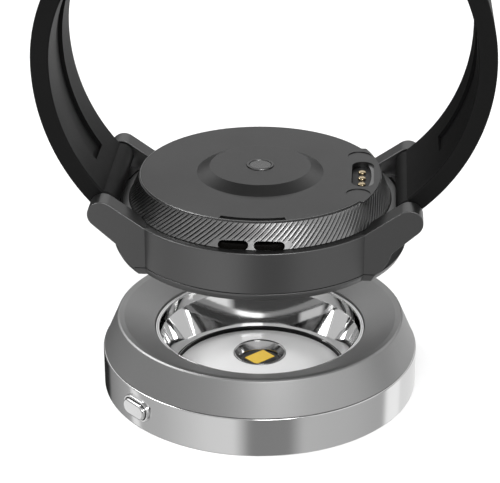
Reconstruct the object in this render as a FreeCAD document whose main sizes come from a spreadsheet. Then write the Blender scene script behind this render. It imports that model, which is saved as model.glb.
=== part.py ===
import FreeCAD, Part
import math
import os
import Sketcher
from FreeCAD import Placement, Rotation, Vector

# A round sports watch, back upwards, held over its clip-on lamp.  Millimetres, +Z up.
# Origin: centre of the lamp's base.  +X points to the charging contacts, -Y to the loudspeaker.

doc = FreeCAD.newDocument("watch_and_lamp")
sheet = doc.addObject("Spreadsheet::Sheet", "Dimensions")

DIMENSIONS = {
    # lamp
    "lamp_radius": 26.5, "lamp_wall_height": 6.8, "lamp_wall_thick": 1.2, "edge_break": 0.3,
    "base_thick": 0.5, "base_clear": 0.05, "crest_radius": 23.75, "crest_height": 12.4,
    "mouth_radius": 17.0, "mouth_height": 10.1, "bowl_foot_radius": 14.7, "bead_height": 9.6,
    "dish_skin": 1.3, "floor_radius": 14.4, "floor_skin": 0.4, "cup_radius": 4.45,
    "cup_height": 4.35, "led_length": 4.15, "led_width": 2.95, "led_top": 3.5, "led_turn": 45,
    "lamp_button_angle": 225, "lamp_button_height": 3.6, "lamp_button_length": 5.3,
    "lamp_button_width": 2.7, "lamp_button_proud": 0.95, "guide_rim": 0.5,
    "base_screw_circle": 21.4, "magnet_circle": 21.3,
    # watch head
    "disc_radius": 19.63, "disc_height": 37.96, "disc_thick": 0.9, "plinth_foot": 10.34,
    "plinth_top": 8.23, "plinth_height": 39.07, "knurl_foot_radius": 21.42,
    "knurl_foot_height": 33.94, "case_bottom": 28.3, "case_wall": 1.1,
    "frame_bore": 21.5, "frame_radius": 22.72, "frame_bottom": 26.95, "frame_top": 33.85,
    "flange_top": 33.25, "lug_plane": 14.68, "lug_inner": 10.95, "lug_root": 17.34,
    "bar_x": 24.2, "bar_z": 35.95, "tip_radius": 2.2, "end_wall": 23.3, "belly_low_x": 19.2,
    "belly_mid_x": 21.6, "belly_mid_z": 30.66, "bezel_bottom": 25.6, "bezel_inner": 19.0,
    "bezel_foot": 22.2, "glass_radius": 18.95, "display_radius": 17.8,
    "contact_x": 16.58, "contact_pitch": 2.43, "pocket_length": 10.2, "pocket_width": 3.6,
    "side_button_turn": 30, "side_button_proud": 1.3, "cover_rim": 0.2,
    "lobe_radius": 24.66, "lobe_centre": -5.0, "lobe_half": 10.9,
    "slot_length": 4.75, "slot_width": 1.45, "slit_inner": 18.45, "slit_outer": 19.3,
    "slit_half_angle": 15.5, "dimple_radius": 1.95, "dimple_x": 16.1, "dimple_front": -7.9,
    "dimple_back": 7.5,
    # straps
    "bar_radius": 0.75, "strap_width": 20.6, "strap_thick": 2.9, "knuckle_radius": 2.1,
    "pin_clear": 0.05, "tail_widest": 36.75, "tail_height": 60.0, "tail_low_radius": 31.5,
    "tail_radius": 30.0, "tail_open_radius": 75.0, "tail_open_angle": 45, "tail_end_angle": 88,
    "short_widest": 35.05, "short_height": 59.0, "short_low_radius": 35.0, "short_radius": 27.5,
    "short_end_angle": 80, "buckle_angle": 84, "buckle_bar": 0.8, "buckle_reach": 11.2,
    "buckle_half_width": 13.0, "keeper_width": 5.0, "keeper_room": 3.1, "keeper_skin": 1.3,
}
NOTES = {
    "lamp_radius": "lamp", "disc_radius": "watch head", "bar_radius": "straps",
}
row = 1
for alias, value in DIMENSIONS.items():
    sheet.set("A%d" % row, alias.replace("_", " "))
    sheet.set("B%d" % row, str(value))
    sheet.setAlias("B%d" % row, alias)
    if alias in NOTES:
        sheet.set("C%d" % row, NOTES[alias])
    row += 1
doc.recompute()

nodes = []


def size(alias):
    """The value of one named cell."""
    return float(sheet.get(alias))


def cell(text):
    """Turn a formula over cell names into an expression on the sheet."""
    words = []
    word = ""
    for letter in str(text) + " ":
        if letter.isalnum() or letter in "_.":
            word += letter
            continue
        if word in DIMENSIONS:
            word = "Dimensions." + word
        words.append(word + letter)
        word = ""
    return "".join(words).strip()


def keep(label, item):
    """Name a finished sub-part and put it on the list that is written out."""
    item.Label = label
    nodes.append(item)
    return item


def sketch_on(body, role, name):
    """A sketch on one of the body's own origin planes."""
    sketch = body.newObject("Sketcher::SketchObject", name)
    for item in body.Origin.OriginFeatures:
        if item.Role == role:
            sketch.AttachmentSupport = [(item, "")]
    sketch.MapMode = "FlatFace"
    return sketch


def polygon(sketch, points):
    """A closed outline; every corner is held by two dimensions bound to the sheet."""
    count = len(points)
    first = sketch.GeometryCount
    ring = [Vector(10 + 3 * math.cos(2 * math.pi * i / count), 10 + 3 * math.sin(2 * math.pi * i / count), 0)
            for i in range(count)]
    for i in range(count):
        sketch.addGeometry(Part.LineSegment(ring[i], ring[(i + 1) % count]), False)
    for i in range(count):
        nxt = first + (i + 1) % count
        sketch.addConstraint(Sketcher.Constraint("Coincident", first + i, 2, nxt, 1))
    for i, (across, up) in enumerate(points):
        for kind, formula, start in (("DistanceX", across, ring[i].x), ("DistanceY", up, ring[i].y)):
            number = sketch.addConstraint(Sketcher.Constraint(kind, -1, 1, first + i, 1, start))
            sketch.setExpression("Constraints[%d]" % number, cell(formula))


def turned(label, points, angle=360, finish=True):
    """A turned piece: an outline in radius and height, revolved about the vertical axis."""
    body = doc.addObject("PartDesign::Body", label)
    sketch = sketch_on(body, "XZ_Plane", label + "_profile")
    polygon(sketch, points)
    spin = body.newObject("PartDesign::Revolution", label + "_turn")
    spin.Profile = sketch
    spin.ReferenceAxis = (sketch, ["V_Axis"])
    spin.Angle = angle
    spin.Midplane = True
    body.Tip = spin
    if finish:
        keep(label, body)
    return body


def place(item, spot, turn=None):
    """Bind a primitive's position to the sheet, then turn it about an axis if asked."""
    if turn:
        item.Placement = Placement(Vector(), Rotation(turn[0], turn[1]))
    for axis, formula in zip("xyz", spot):
        item.setExpression("Placement.Base." + axis, cell(formula))
    return item


def rod(name, radius, height, spot, turn=None):
    item = doc.addObject("Part::Cylinder", name)
    item.setExpression("Radius", cell(radius))
    item.setExpression("Height", cell(height))
    return place(item, spot, turn)


def block(name, sizes, spot, turn=None):
    item = doc.addObject("Part::Box", name)
    for side, formula in zip(("Length", "Width", "Height"), sizes):
        item.setExpression(side, cell(formula))
    return place(item, spot, turn)


def cut(name, base, tools):
    """One piece less one or more others."""
    tool = tools[0]
    if len(tools) > 1:
        tool = doc.addObject("Part::MultiFuse", name + "_tools")
        tool.Shapes = tools
    item = doc.addObject("Part::Cut", name)
    item.Base = base
    item.Tool = tool
    return item


def join(name, pieces):
    item = doc.addObject("Part::MultiFuse", name)
    item.Shapes = pieces
    return item


def group(name, pieces):
    """Like pieces that stay separate solids in one node."""
    item = doc.addObject("Part::Compound", name)
    item.Links = pieces
    return item


def solid(label, shape, placement=None):
    """A piece whose shape is made in code from the sheet's sizes."""
    item = doc.addObject("Part::Feature", label)
    item.Shape = shape
    if placement:
        item.Placement = placement
    return item


def obround(length, width, depth):
    """A bar with round ends, along X, centred, from Y=0 to Y=-depth."""
    run = (length - width) / 2
    half = width / 2
    top = Part.LineSegment(Vector(-run, 0, half), Vector(run, 0, half))
    right = Part.Arc(Vector(run, 0, half), Vector(run + half, 0, 0), Vector(run, 0, -half))
    foot = Part.LineSegment(Vector(run, 0, -half), Vector(-run, 0, -half))
    left = Part.Arc(Vector(-run, 0, -half), Vector(-run - half, 0, 0), Vector(-run, 0, half))
    wire = Part.Wire([edge.toShape() for edge in (top, right, foot, left)])
    return Part.Face(wire).extrude(Vector(0, -depth, 0))


def around(angle, radius, height):
    """A placement on a wall: local -Y looks outwards at the angle, local X runs round the wall."""
    spot = Vector(radius * math.cos(math.radians(angle)), radius * math.sin(math.radians(angle)), height)
    return Placement(spot, Rotation(Vector(0, 0, 1), angle + 90))


# ---------------------------------------------------------------- lamp
# Polished wall, with an obround hole for the push button.
wall_blank = turned("lamp_wall_blank", [
    ("lamp_radius - lamp_wall_thick", 0), ("lamp_radius - edge_break", 0),
    ("lamp_radius", "edge_break"), ("lamp_radius", "lamp_wall_height - edge_break / 2"),
    ("lamp_radius - edge_break / 2", "lamp_wall_height"),
    ("lamp_radius - lamp_wall_thick", "lamp_wall_height")], finish=False)
angle = size("lamp_button_angle")
button_z = size("lamp_button_height")
guide_long = size("lamp_button_length") + 2 * size("guide_rim")
guide_wide = size("lamp_button_width") + 2 * size("guide_rim")
guide_hole = solid("lamp_guide_hole", obround(guide_long, guide_wide, 6),
                   around(angle, size("lamp_radius") - 4, button_z))
keep("lamp_wall", cut("lamp_wall", wall_blank, [guide_hole]))

# Satin top ring: outer slope, crest and inner dish.
turned("lamp_top_ring", [
    ("lamp_radius - 0.15", "lamp_wall_height + 0.05"), ("crest_radius + 0.75", "crest_height - 0.65"),
    ("crest_radius", "crest_height"), ("crest_radius - 0.9", "crest_height - 0.2"),
    ("mouth_radius + 0.75", "mouth_height + 0.05"), ("mouth_radius + 0.75", "mouth_height - 1.2"),
    ("crest_radius - 0.9", "crest_height - 0.2 - dish_skin"),
    ("crest_radius - 0.1", "crest_height - 0.4 - dish_skin"),
    ("lamp_radius - 0.15 - dish_skin", "lamp_wall_height + 0.05")])

# Base plate and the countersunk screws that hold it to the tray.
screw_spots = []
for a in (90, 210, 330):
    spot = Vector(size("base_screw_circle"), 0, 0)
    screw_spots.append(tuple(Rotation(Vector(0, 0, 1), a).multVec(spot))[:2])
base_blank = rod("base_blank", "lamp_radius - lamp_wall_thick - base_clear", "base_thick", (0, 0, 0))
sinks = []
screws = []
tray_holes = []
for i, (x, y) in enumerate(screw_spots):
    sink = doc.addObject("Part::Cone", "sink_%d" % i)
    sink.Radius1, sink.Radius2 = 1.3, 0.8
    sink.setExpression("Height", cell("base_thick"))
    sinks.append(place(sink, (x, y, 0)))
    head = doc.addObject("Part::Cone", "screw_head_%d" % i)
    head.Radius1, head.Radius2 = 1.25, 0.75
    head.setExpression("Height", cell("base_thick"))
    place(head, (x, y, 0))
    shank = rod("screw_shank_%d" % i, 0.6, 2.6, (x, y, "base_thick - 0.1"))
    slot = block("screw_slot_%d" % i, (1.6, 0.3, 0.25), (x - 0.8, y - 0.15, -0.02))
    screws.append(cut("base_screw_%d" % i, join("screw_body_%d" % i, [head, shank]), [slot]))
    tray_holes.append(rod("tray_hole_%d" % i, 0.62, 4, (x, y, "base_thick - 0.2")))
keep("lamp_base_plate", cut("lamp_base_plate", base_blank, sinks))
keep("lamp_base_screws", group("lamp_base_screws", screws))

# Plastic tray that carries the cells, the board and the magnets.
tray_blank = turned("tray_blank", [
    (17.6, "base_thick + 0.05"), ("lamp_radius - lamp_wall_thick - base_clear", "base_thick + 0.05"),
    ("lamp_radius - lamp_wall_thick - base_clear", 1.1), (22.6, 1.1), (22.6, 3.2), (20.2, 3.2),
    (20.2, 1.1), (17.6, 1.1)], finish=False)
gate = block("tray_gate", (60, 60, 4), (-30, -30, 1.1))
keepers = [rod("boss_%d" % i, 1.2, 4, (x, y, 1.0)) for i, (x, y) in enumerate(screw_spots)]
tray_rim = cut("tray_rim", gate, keepers)
keep("lamp_tray", cut("lamp_tray", tray_blank, [tray_rim] + tray_holes))

# Bright bowl, its rolled mouth ring, the white floor and the cup round the light source.
turned("lamp_reflector", [
    ("mouth_radius + 0.05", "bead_height - 0.1"), ("mouth_radius", 7.6),
    ("bowl_foot_radius + 0.08", 1.5),
    ("bowl_foot_radius - 0.02", 1.45), ("bowl_foot_radius - 0.1", 1.62),
    ("bowl_foot_radius - 0.2", 1.55), ("bowl_foot_radius - 0.24", 0.95),
    ("floor_radius + 0.05", 0.95), ("floor_radius + 0.05", 0.55), ("bowl_foot_radius + 0.35", 0.55),
    ("bowl_foot_radius + 0.6", 1.5), ("mouth_radius + 0.42", 7.2),
    ("mouth_radius + 0.45", "bead_height - 0.1")])
turned("lamp_mouth_ring", [
    ("mouth_radius", "bead_height - 0.05"), ("mouth_radius + 0.08", "bead_height + 0.2"),
    ("mouth_radius + 0.25", "bead_height + 0.2"), ("mouth_radius + 0.33", "bead_height + 0.02"),
    ("mouth_radius + 0.42", "bead_height + 0.2"), ("mouth_radius + 0.6", "bead_height + 0.2"),
    ("mouth_radius + 0.7", "bead_height"), ("mouth_radius + 0.7", "bead_height - 0.5"),
    ("mouth_radius + 0.5", "bead_height - 0.5"), ("mouth_radius + 0.5", "bead_height - 0.05")])
turned("lamp_floor", [
    ("floor_radius", 0.95), ("cup_radius + 0.03", "cup_height"),
    ("cup_radius + 0.03", "cup_height - floor_skin"), ("floor_radius - 1.15", 0.95 - 0.4),
    ("floor_radius", 0.55)])
turned("lamp_led_cup", [
    ("cup_radius", "cup_height - 0.5"), ("cup_radius", "cup_height + 0.1"),
    ("cup_radius - 0.2", "cup_height + 0.2"), ("cup_radius - 0.45", "cup_height + 0.05"),
    ("cup_radius - 1.05", 3.0), ("cup_radius - 1.05", 2.45), ("cup_radius - 0.6", 2.45)])

# Light source: heat spreader, board, dark base, package and its yellow face.
turned("lamp_heat_spreader", [(0, 0.55), (10.5, 0.55), (10.5, 1.25), (0, 1.25)])
turned("lamp_led_board", [(0, 1.28), (5.8, 1.28), (5.8, 2.4), (0, 2.4)])
turned("lamp_led_base", [(0, 2.43), ("cup_radius - 1.1", 2.43), ("cup_radius - 1.1", 2.9), (0, 2.9)])


def led_block(name, grow, low, high):
    """A rectangle on the lamp's axis, turned like the light source."""
    length = size("led_length") + grow
    width = size("led_width") + grow
    shape = Part.makeBox(length, width, high - low, Vector(-length / 2, -width / 2, 0))
    turn = Rotation(Vector(0, 0, 1), size("led_turn"))
    return keep(name, solid(name, shape, Placement(Vector(0, 0, low), turn)))


led_block("lamp_led_package", 0.35, 2.92, size("led_top") - 0.16)
led_block("lamp_led_phosphor", 0.0, size("led_top") - 0.15, size("led_top"))

# Two curved cells, one board ring and four holding magnets fill the ring round the bowl.
cell_outline = [(18.0, 1.15), (20.0, 1.15), (20.0, 3.4), (24.4, 3.4), (24.4, 6.6), (18.0, 6.6)]
cells = []
for i, turn in enumerate((132, 312)):
    one = turned("cell_%d" % i, cell_outline, angle=118, finish=False)
    one.Placement = Placement(Vector(), Rotation(Vector(0, 0, 1), turn))
    cells.append(one)
keep("lamp_cells", group("lamp_cells", cells))
turned("lamp_ring_board", [(18.2, 6.8), (24.2, 6.8), (24.2, 7.5), (18.2, 7.5)])
magnets = []
for i in range(4):
    spot = Rotation(Vector(0, 0, 1), 45 + 90 * i).multVec(Vector(size("magnet_circle"), 0, 0))
    magnets.append(rod("magnet_%d" % i, 1.7, 1.5, (spot.x, spot.y, 7.55)))
keep("lamp_magnets", group("lamp_magnets", magnets))

# Push button: guide ring fixed in the wall, sliding cap with its stem, and the switch behind it.
wall_face = size("lamp_radius")
guide = obround(guide_long - 0.04, guide_wide - 0.04, 1.75)
guide = guide.cut(obround(size("lamp_button_length") + 0.1, size("lamp_button_width") + 0.1, 1.75))
keep("lamp_button_guide", solid("lamp_button_guide", guide, around(angle, wall_face - 1.35, button_z)))
cap = obround(size("lamp_button_length"), size("lamp_button_width"), 2.0)
cap = cap.makeFillet(0.28, [e for e in cap.Edges if max(v.Y for v in e.Vertexes) < -1.9])
stem = Part.makeCylinder(0.8, 1.2, Vector(0, 0, 0), Vector(0, 1, 0))
proud = size("lamp_button_proud")
keep("lamp_button_cap", solid("lamp_button_cap", cap.fuse(stem),
                              around(angle, wall_face + proud - 2.0, button_z)))
switch = Part.makeBox(3.6, 1.6, 3.2, Vector(-1.8, 0, -1.6))
plunger = Part.makeCylinder(0.7, 0.35, Vector(0, 0.05, 0), Vector(0, -1, 0))
keep("lamp_button_switch", solid("lamp_button_switch", switch.fuse(plunger),
                                 around(angle, wall_face + proud - 2.0 - 1.2 - 0.9, button_z)))

# ---------------------------------------------------------------- watch head
# Lug frame: a ring, flat end walls with a rounded belly, and four arms that hold the spring bars.


def arm_outline():
    """Side view of one arm: root, belly, lower edge, round tip and upper edge."""
    root, top, low = size("lug_root"), size("frame_top"), size("frame_bottom")
    bx, bz, r = size("bar_x"), size("bar_z"), size("tip_radius")
    mid = Vector(size("belly_mid_x"), 0, size("belly_mid_z"))
    start = Vector(root, 0, top)
    centre = Vector(bx, 0, bz)

    def touch(point, side):
        gap = centre - point
        swing = math.asin(r / gap.Length) * side
        heading = math.atan2(gap.z, gap.x) + swing
        run = math.sqrt(gap.Length ** 2 - r ** 2)
        return point + Vector(math.cos(heading) * run, 0, math.sin(heading) * run)

    upper, lower = touch(start, 1), touch(mid, -1)
    far = centre + Vector(r * math.cos(math.radians(-5)), 0, r * math.sin(math.radians(-5)))
    foot = Vector(size("belly_low_x"), 0, low)
    bulge = Vector(20.75, 0, 28.55)
    inner = Vector(root - 2.0, 0, low)
    back = Vector(root - 2.0, 0, top)
    return Part.Wire([
        Part.LineSegment(inner, foot).toShape(), Part.Arc(foot, bulge, mid).toShape(),
        Part.LineSegment(mid, lower).toShape(), Part.Arc(lower, far, upper).toShape(),
        Part.LineSegment(upper, start).toShape(), Part.LineSegment(start, back).toShape(),
        Part.LineSegment(back, inner).toShape()])


def belly_outline():
    """Side view of the end wall between two arms."""
    low, top, end = size("frame_bottom"), size("flange_top"), size("end_wall")
    foot = Vector(size("belly_low_x"), 0, low)
    shoulder = Vector(end, 0, 32.2)
    bulge = Vector(21.9, 0, 29.3)
    inner = Vector(15.5, 0, low)
    back = Vector(15.5, 0, top)
    corner = Vector(end, 0, top)
    return Part.Wire([
        Part.LineSegment(inner, foot).toShape(), Part.Arc(foot, bulge, shoulder).toShape(),
        Part.LineSegment(shoulder, corner).toShape(), Part.LineSegment(corner, back).toShape(),
        Part.LineSegment(back, inner).toShape()])


plane_y, inner_y = size("lug_plane"), size("lug_inner")
arm_depth = plane_y - inner_y
arm = Part.Face(arm_outline()).extrude(Vector(0, arm_depth, 0))
arm.translate(Vector(0, -plane_y, 0))
belly = Part.Face(belly_outline()).extrude(Vector(0, 2 * inner_y + 1.0, 0))
belly.translate(Vector(0, -inner_y - 0.5, 0))
slot = Part.makeBox(0.9, 4.2, 3, Vector(-0.45, -2.1, 0))
limbs = []
for side in (1, -1):
    end = belly
    for across in (1, -1):
        nick = slot.copy()
        nick.rotate(Vector(), Vector(0, 0, 1), 14 * across)
        nick.translate(Vector(21.6, across * 7.9, size("flange_top") - 1.2))
        end = end.cut(nick)
    for piece in (arm, arm.mirror(Vector(), Vector(0, 1, 0)), end):
        limbs.append(piece if side == 1 else piece.mirror(Vector(), Vector(1, 0, 0)))
ring = Part.makeCylinder(size("frame_radius"), size("frame_top") - size("frame_bottom"),
                         Vector(0, 0, size("frame_bottom")))
bore = Part.makeCylinder(size("frame_bore"), 20, Vector(0, 0, 20))
frame = ring.fuse(limbs).cut(bore).removeSplitter()
bar_bore = Part.makeCylinder(size("bar_radius"), 2 * (plane_y - 1.2),
                             Vector(0, -(plane_y - 1.2), 0), Vector(0, 1, 0))
for side in (1, -1):
    hole = bar_bore.copy()
    hole.translate(Vector(side * size("bar_x"), 0, size("bar_z")))
    frame = frame.cut(hole)
side_angles = (90 - size("side_button_turn"), 90 + size("side_button_turn"))
button_level = (size("frame_top") + size("frame_bottom")) / 2
for a in side_angles:
    hole = obround(7.0, 2.8, 4)
    hole.Placement = around(a, size("frame_bore") - 1, button_level)
    frame = frame.cut(hole)
keep("lug_frame", solid("lug_frame", frame))

# Front bezel: follows the frame's outline, corners included.
bezel_ring = turned("bezel_ring", [
    ("bezel_inner", "bezel_bottom + 0.1"), ("bezel_inner + 0.5", "bezel_bottom"),
    ("bezel_foot", "bezel_bottom"), ("frame_radius", "frame_bottom - 0.35"),
    ("frame_radius", "frame_bottom - 0.04"), ("bezel_inner", "frame_bottom - 0.04")], finish=False)
corner_disc = Part.makeCone(23.6, 24.1, 1.0, Vector(0, 0, size("frame_bottom") - 1.04))
corner_box = Part.makeBox(60, 2 * plane_y, 5, Vector(-30, -plane_y, size("bezel_bottom") - 1))
corners = corner_disc.common(corner_box).cut(
    Part.makeCylinder(size("frame_radius") - 0.6, 5, Vector(0, 0, size("bezel_bottom") - 1)))
keep("front_bezel", join("front_bezel", [bezel_ring, solid("bezel_corners", corners)]))

turned("cover_glass", [(0, "bezel_bottom + 0.25"), ("glass_radius", "bezel_bottom + 0.25"),
                       ("glass_radius", "frame_bottom - 0.05"), (0, "frame_bottom - 0.05")])
turned("glass_gasket", [(18.3, "frame_bottom"), (20.6, "frame_bottom"), (20.6, 27.25), (18.3, 27.25)])
turned("display_panel", [(0, "frame_bottom"), ("display_radius", "frame_bottom"),
                         ("display_radius", 27.9), (0, 27.9)])
turned("display_carrier", [(18.0, 27.3), (21.3, 27.3), (21.3, 28.25), (18.8, 28.25), (18.8, 28.0),
                           (18.0, 28.0)])

# Inner case with the knurled cone; two loudspeaker slots at the foot of the cone.
case_blank = turned("case_blank", [
    ("knurl_foot_radius - 0.35", "case_bottom"), ("knurl_foot_radius - 0.35", "knurl_foot_height - 0.7"),
    ("knurl_foot_radius", "knurl_foot_height"), ("disc_radius", "disc_height - 0.06"),
    ("disc_radius - 0.05", "disc_height"), ("disc_radius - cover_rim + 0.03", "disc_height"),
    ("disc_radius - cover_rim + 0.03", "disc_height - disc_thick * 0.35"),
    ("disc_radius - case_wall - 0.4", "disc_height - disc_thick * 0.35"),
    ("disc_radius - case_wall - 0.4", "disc_height - disc_thick - 0.6"), (16.9, 36.46), (16.9, 36.0),
    (18.3, 35.6),
    ("knurl_foot_radius - 0.35 - case_wall", "knurl_foot_height - 0.7"),
    ("knurl_foot_radius - 0.35 - case_wall", "case_bottom")], finish=False)
slot_lean = 24
slot_start = Vector(0, -17, size("knurl_foot_height") + 0.55 - 4.1 * math.tan(math.radians(slot_lean)))
speaker_slots = []
for i, x in enumerate((-2.85, 2.75)):
    place_slot = Placement(slot_start + Vector(x, 0, 0), Rotation(Vector(1, 0, 0), -slot_lean))
    speaker_slots.append(solid("speaker_slot_%d" % i, obround(size("slot_length"), size("slot_width"), 6),
                               place_slot))
button_holes = []
for i, a in enumerate(side_angles):
    button_holes.append(solid("stem_hole_%d" % i, Part.makeCylinder(0.75, 6, Vector(), Vector(0, -1, 0)),
                              around(a, 17.5, button_level)))
pocket_turn = Rotation(Vector(0, 0, 1), 90).multiply(Rotation(Vector(1, 0, 0), -90))
pocket_x = size("contact_x") + 0.13
carrier_room = solid("carrier_room", obround(size("pocket_length"), size("pocket_width"), 5),
                     Placement(Vector(pocket_x, 0, 35.4), pocket_turn))
lobe_thick = size("disc_thick") * 0.33


def lobe_tab(grow, thick):
    """The charging lobe: an arc wider than the disc, cut off square at its two ends."""
    half_width = size("lobe_half") + grow
    disc = Part.makeCylinder(size("lobe_radius") + grow, thick,
                             Vector(size("lobe_centre"), 0, size("disc_height") - thick + grow))
    return disc.common(Part.makeBox(8, 2 * half_width, 3, Vector(14, -half_width, size("disc_height") - 2)))


def sound_slit(outer, depth):
    """A curved slit just inside the front rim, centred on -Y."""
    foot = Vector(0, 0, size("disc_height") - depth)
    ring = Part.makeCylinder(outer, 3, foot).cut(Part.makeCylinder(size("slit_inner"), 3, foot))
    reach = 30 / math.tan(math.radians(size("slit_half_angle")))
    wedge = Part.makePolygon([Vector(), Vector(-30, -reach, 0), Vector(30, -reach, 0), Vector()])
    return ring.common(Part.Face(wedge).extrude(Vector(0, 0, 60)))


case_cuts = [carrier_room, solid("lobe_seat", lobe_tab(0.03, lobe_thick + 0.06)),
             solid("slit_floor", sound_slit(size("slit_outer"), 1.0))]
keep("inner_case", cut("inner_case", case_blank, speaker_slots + button_holes + case_cuts))

# Rear cover: disc, plinth, charging lobe with its pocket, sound slit and two magnet dimples.
cover_disc = turned("cover_disc", [
    (0, "disc_height - disc_thick"), ("disc_radius - case_wall - 0.45", "disc_height - disc_thick"),
    ("disc_radius - case_wall - 0.45", "disc_height - disc_thick * 0.33"),
    ("disc_radius - cover_rim", "disc_height - disc_thick * 0.33"),
    ("disc_radius - cover_rim", "disc_height"), ("plinth_foot", "disc_height"),
    ("plinth_top", "plinth_height"), (0, "plinth_height")], finish=False)
pocket_shape = obround(size("pocket_length"), size("pocket_width"), 5)
pocket_shape.Placement = Placement(Vector(pocket_x, 0, size("disc_height") - 2.5), pocket_turn)
dimples = []
for i, alias in enumerate(("dimple_front", "dimple_back")):
    spot = Vector(size("dimple_x"), size(alias), size("disc_height") - 0.14)
    dimples.append(solid("dimple_%d" % i, Part.makeCylinder(size("dimple_radius"), 1, spot)))
tools = [solid("pocket_tool", pocket_shape), solid("slit_tool", sound_slit(size("disc_radius"), 0.6))]
cover_body = join("cover_body", [cover_disc, solid("lobe_tab", lobe_tab(0, lobe_thick))])
keep("rear_cover", cut("rear_cover", cover_body, tools + dimples))

turned("sensor_ring", [(1.75, "plinth_height + 0.01"), (2.3, "plinth_height + 0.01"),
                       (2.2, "plinth_height + 0.18"), (1.85, "plinth_height + 0.18")])
turned("sensor_window", [(0, "plinth_height + 0.01"), (1.72, "plinth_height + 0.01"),
                         (1.72, "plinth_height + 0.08"), (0, "plinth_height + 0.1")])
gasket_blank = turned("gasket_blank", [(17.2, 36.47), (18.05, 36.47), (18.05, 37.05), (17.2, 37.05)],
                      finish=False)
gasket_gap = solid("gasket_gap", obround(size("pocket_length"), size("pocket_width"), 5),
                   Placement(Vector(pocket_x, 0, 35.4), pocket_turn))
keep("rear_gasket", cut("rear_gasket", gasket_blank, [gasket_gap]))

# Charging contacts: insulating carrier and three gold pins.
carrier = obround(size("pocket_length") - 0.1, size("pocket_width") - 0.1, 0.7)
carrier.Placement = Placement(Vector(pocket_x, 0, 36.3), pocket_turn)
pin_rows = [i * size("contact_pitch") for i in (-1, 0, 1)]
for y in pin_rows:
    carrier = carrier.cut(Part.makeCylinder(0.66, 4, Vector(size("contact_x"), y, 35)))
keep("contact_carrier", solid("contact_carrier", carrier))
pins = [rod("contact_%d" % i, 0.65, 1.5, ("contact_x", "%d * contact_pitch" % (i - 1), 35.88))
        for i in range(3)]
keep("charging_contacts", group("charging_contacts", pins))
charge_magnets = [rod("charge_magnet_%d" % i, 1.3, 0.9, (13.3, alias, 36.1))
                  for i, alias in enumerate(("dimple_front", "dimple_back"))]
keep("charging_magnets", group("charging_magnets", charge_magnets))

# Electronics inside the case.
board_blank = turned("board_blank", [(0, 31.2), (18.6, 31.2), (18.6, 32.0), (0, 32.0)], finish=False)
keep("board_shield", block("board_shield", (11, 9, 1.1), (-13.5, -6, 32.02)))
keep("battery", rod("battery", 10.5, 2.7, (0.8, -3.4, 28.35)))
turned("gps_antenna", [(18.4, 32.2), (19.2, 32.2), (19.2, 33.8), (18.4, 33.8)], angle=250)
keep("loudspeaker", block("loudspeaker", (11, 3.6, 2.8), (-5.6, -16.6, 32.05)))
keep("vibration_motor", rod("vibration_motor", 3.6, 2.4, (-8.2, 8.0, 32.05)))
keep("microphone", block("microphone", (3.2, 2.2, 1.0), (6.5, -12.5, 32.05)))
mesh_plate = Part.makeBox(11, 0.15, 1.9, Vector(-5.6, 0, 0))
keep("speaker_mesh", solid("speaker_mesh", mesh_plate, Placement(Vector(0, -17.35, 33.2), Rotation())))
turned("sensor_board", [(0, 36.1), (6.5, 36.1), (6.5, 36.9), (0, 36.9)])
case_screws = []
board_holes = []
for i in range(4):
    a = math.radians(45 + 90 * i)
    x, y = 17.2 * math.cos(a), 17.2 * math.sin(a)
    case_screws.append(join("case_screw_%d" % i, [
        rod("case_head_%d" % i, 1.0, 0.6, (x, y, 32.03)), rod("case_shank_%d" % i, 0.5, 1.2, (x, y, 30.9))]))
    board_holes.append(rod("board_hole_%d" % i, 0.52, 2, (x, y, 30.5)))
keep("main_board", cut("main_board", board_blank, board_holes))
keep("board_screws", group("board_screws", case_screws))

# Two side buttons: cap, stem and head in one sliding piece, each with its switch.
for name, a in (("upper", side_angles[0]), ("lower", side_angles[1])):
    face = size("frame_radius")
    out = size("side_button_proud")
    cap = obround(6.9, 2.7, 2.2)
    cap = cap.makeFillet(0.5, [e for e in cap.Edges if max(v.Y for v in e.Vertexes) < -2.1])
    stem = Part.makeCylinder(0.7, 4.2, Vector(0, -0.1, 0), Vector(0, 1, 0))
    keep(name + "_button", solid(name + "_button", cap.fuse(stem), around(a, face + out - 2.2, button_level)))
    box = Part.makeBox(4.0, 0.9, 1.9, Vector(-2, 0, -0.9))
    keep(name + "_switch", solid(name + "_switch", box, around(a, face + out - 2.2 - 4.1 - 0.65, 30.1)))

# ---------------------------------------------------------------- straps
# Spring bars: a thin rod with a fatter sleeve between the lugs.
for name, side in (("left", -1), ("right", 1)):
    bar = Part.makeCylinder(size("bar_radius") - size("pin_clear"), 2 * (plane_y - 1.3),
                            Vector(0, -(plane_y - 1.3), 0), Vector(0, 1, 0))
    place_bar = Placement(Vector(side * size("bar_x"), 0, size("bar_z")), Rotation())
    keep(name + "_spring_bar", solid(name + "_spring_bar", bar, place_bar))


def path_point(centre, radius, degrees):
    a = math.radians(degrees)
    return Vector(centre.x + radius * math.cos(a), 0, centre.z + radius * math.sin(a))


def band(outer, thick, width):
    """A strap from arcs of its outer face: (centre, radius, first angle, last angle) in turn."""
    edges = []
    for centre, r, a, b in outer:
        edges.append(Part.Arc(path_point(centre, r, a), path_point(centre, r, (a + b) / 2),
                              path_point(centre, r, b)).toShape())
    last = outer[-1]
    edges.append(Part.LineSegment(path_point(last[0], last[1], last[3]),
                                  path_point(last[0], last[1] - thick, last[3])).toShape())
    for centre, r, a, b in reversed(outer):
        edges.append(Part.Arc(path_point(centre, r - thick, b), path_point(centre, r - thick, (a + b) / 2),
                              path_point(centre, r - thick, a)).toShape())
    start = outer[0]
    edges.append(Part.LineSegment(path_point(start[0], start[1] - thick, start[2]),
                                  path_point(start[0], start[1], start[2])).toShape())
    shape = Part.Face(Part.Wire(edges)).extrude(Vector(0, width, 0))
    shape.translate(Vector(0, -width / 2, 0))
    return shape


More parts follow.
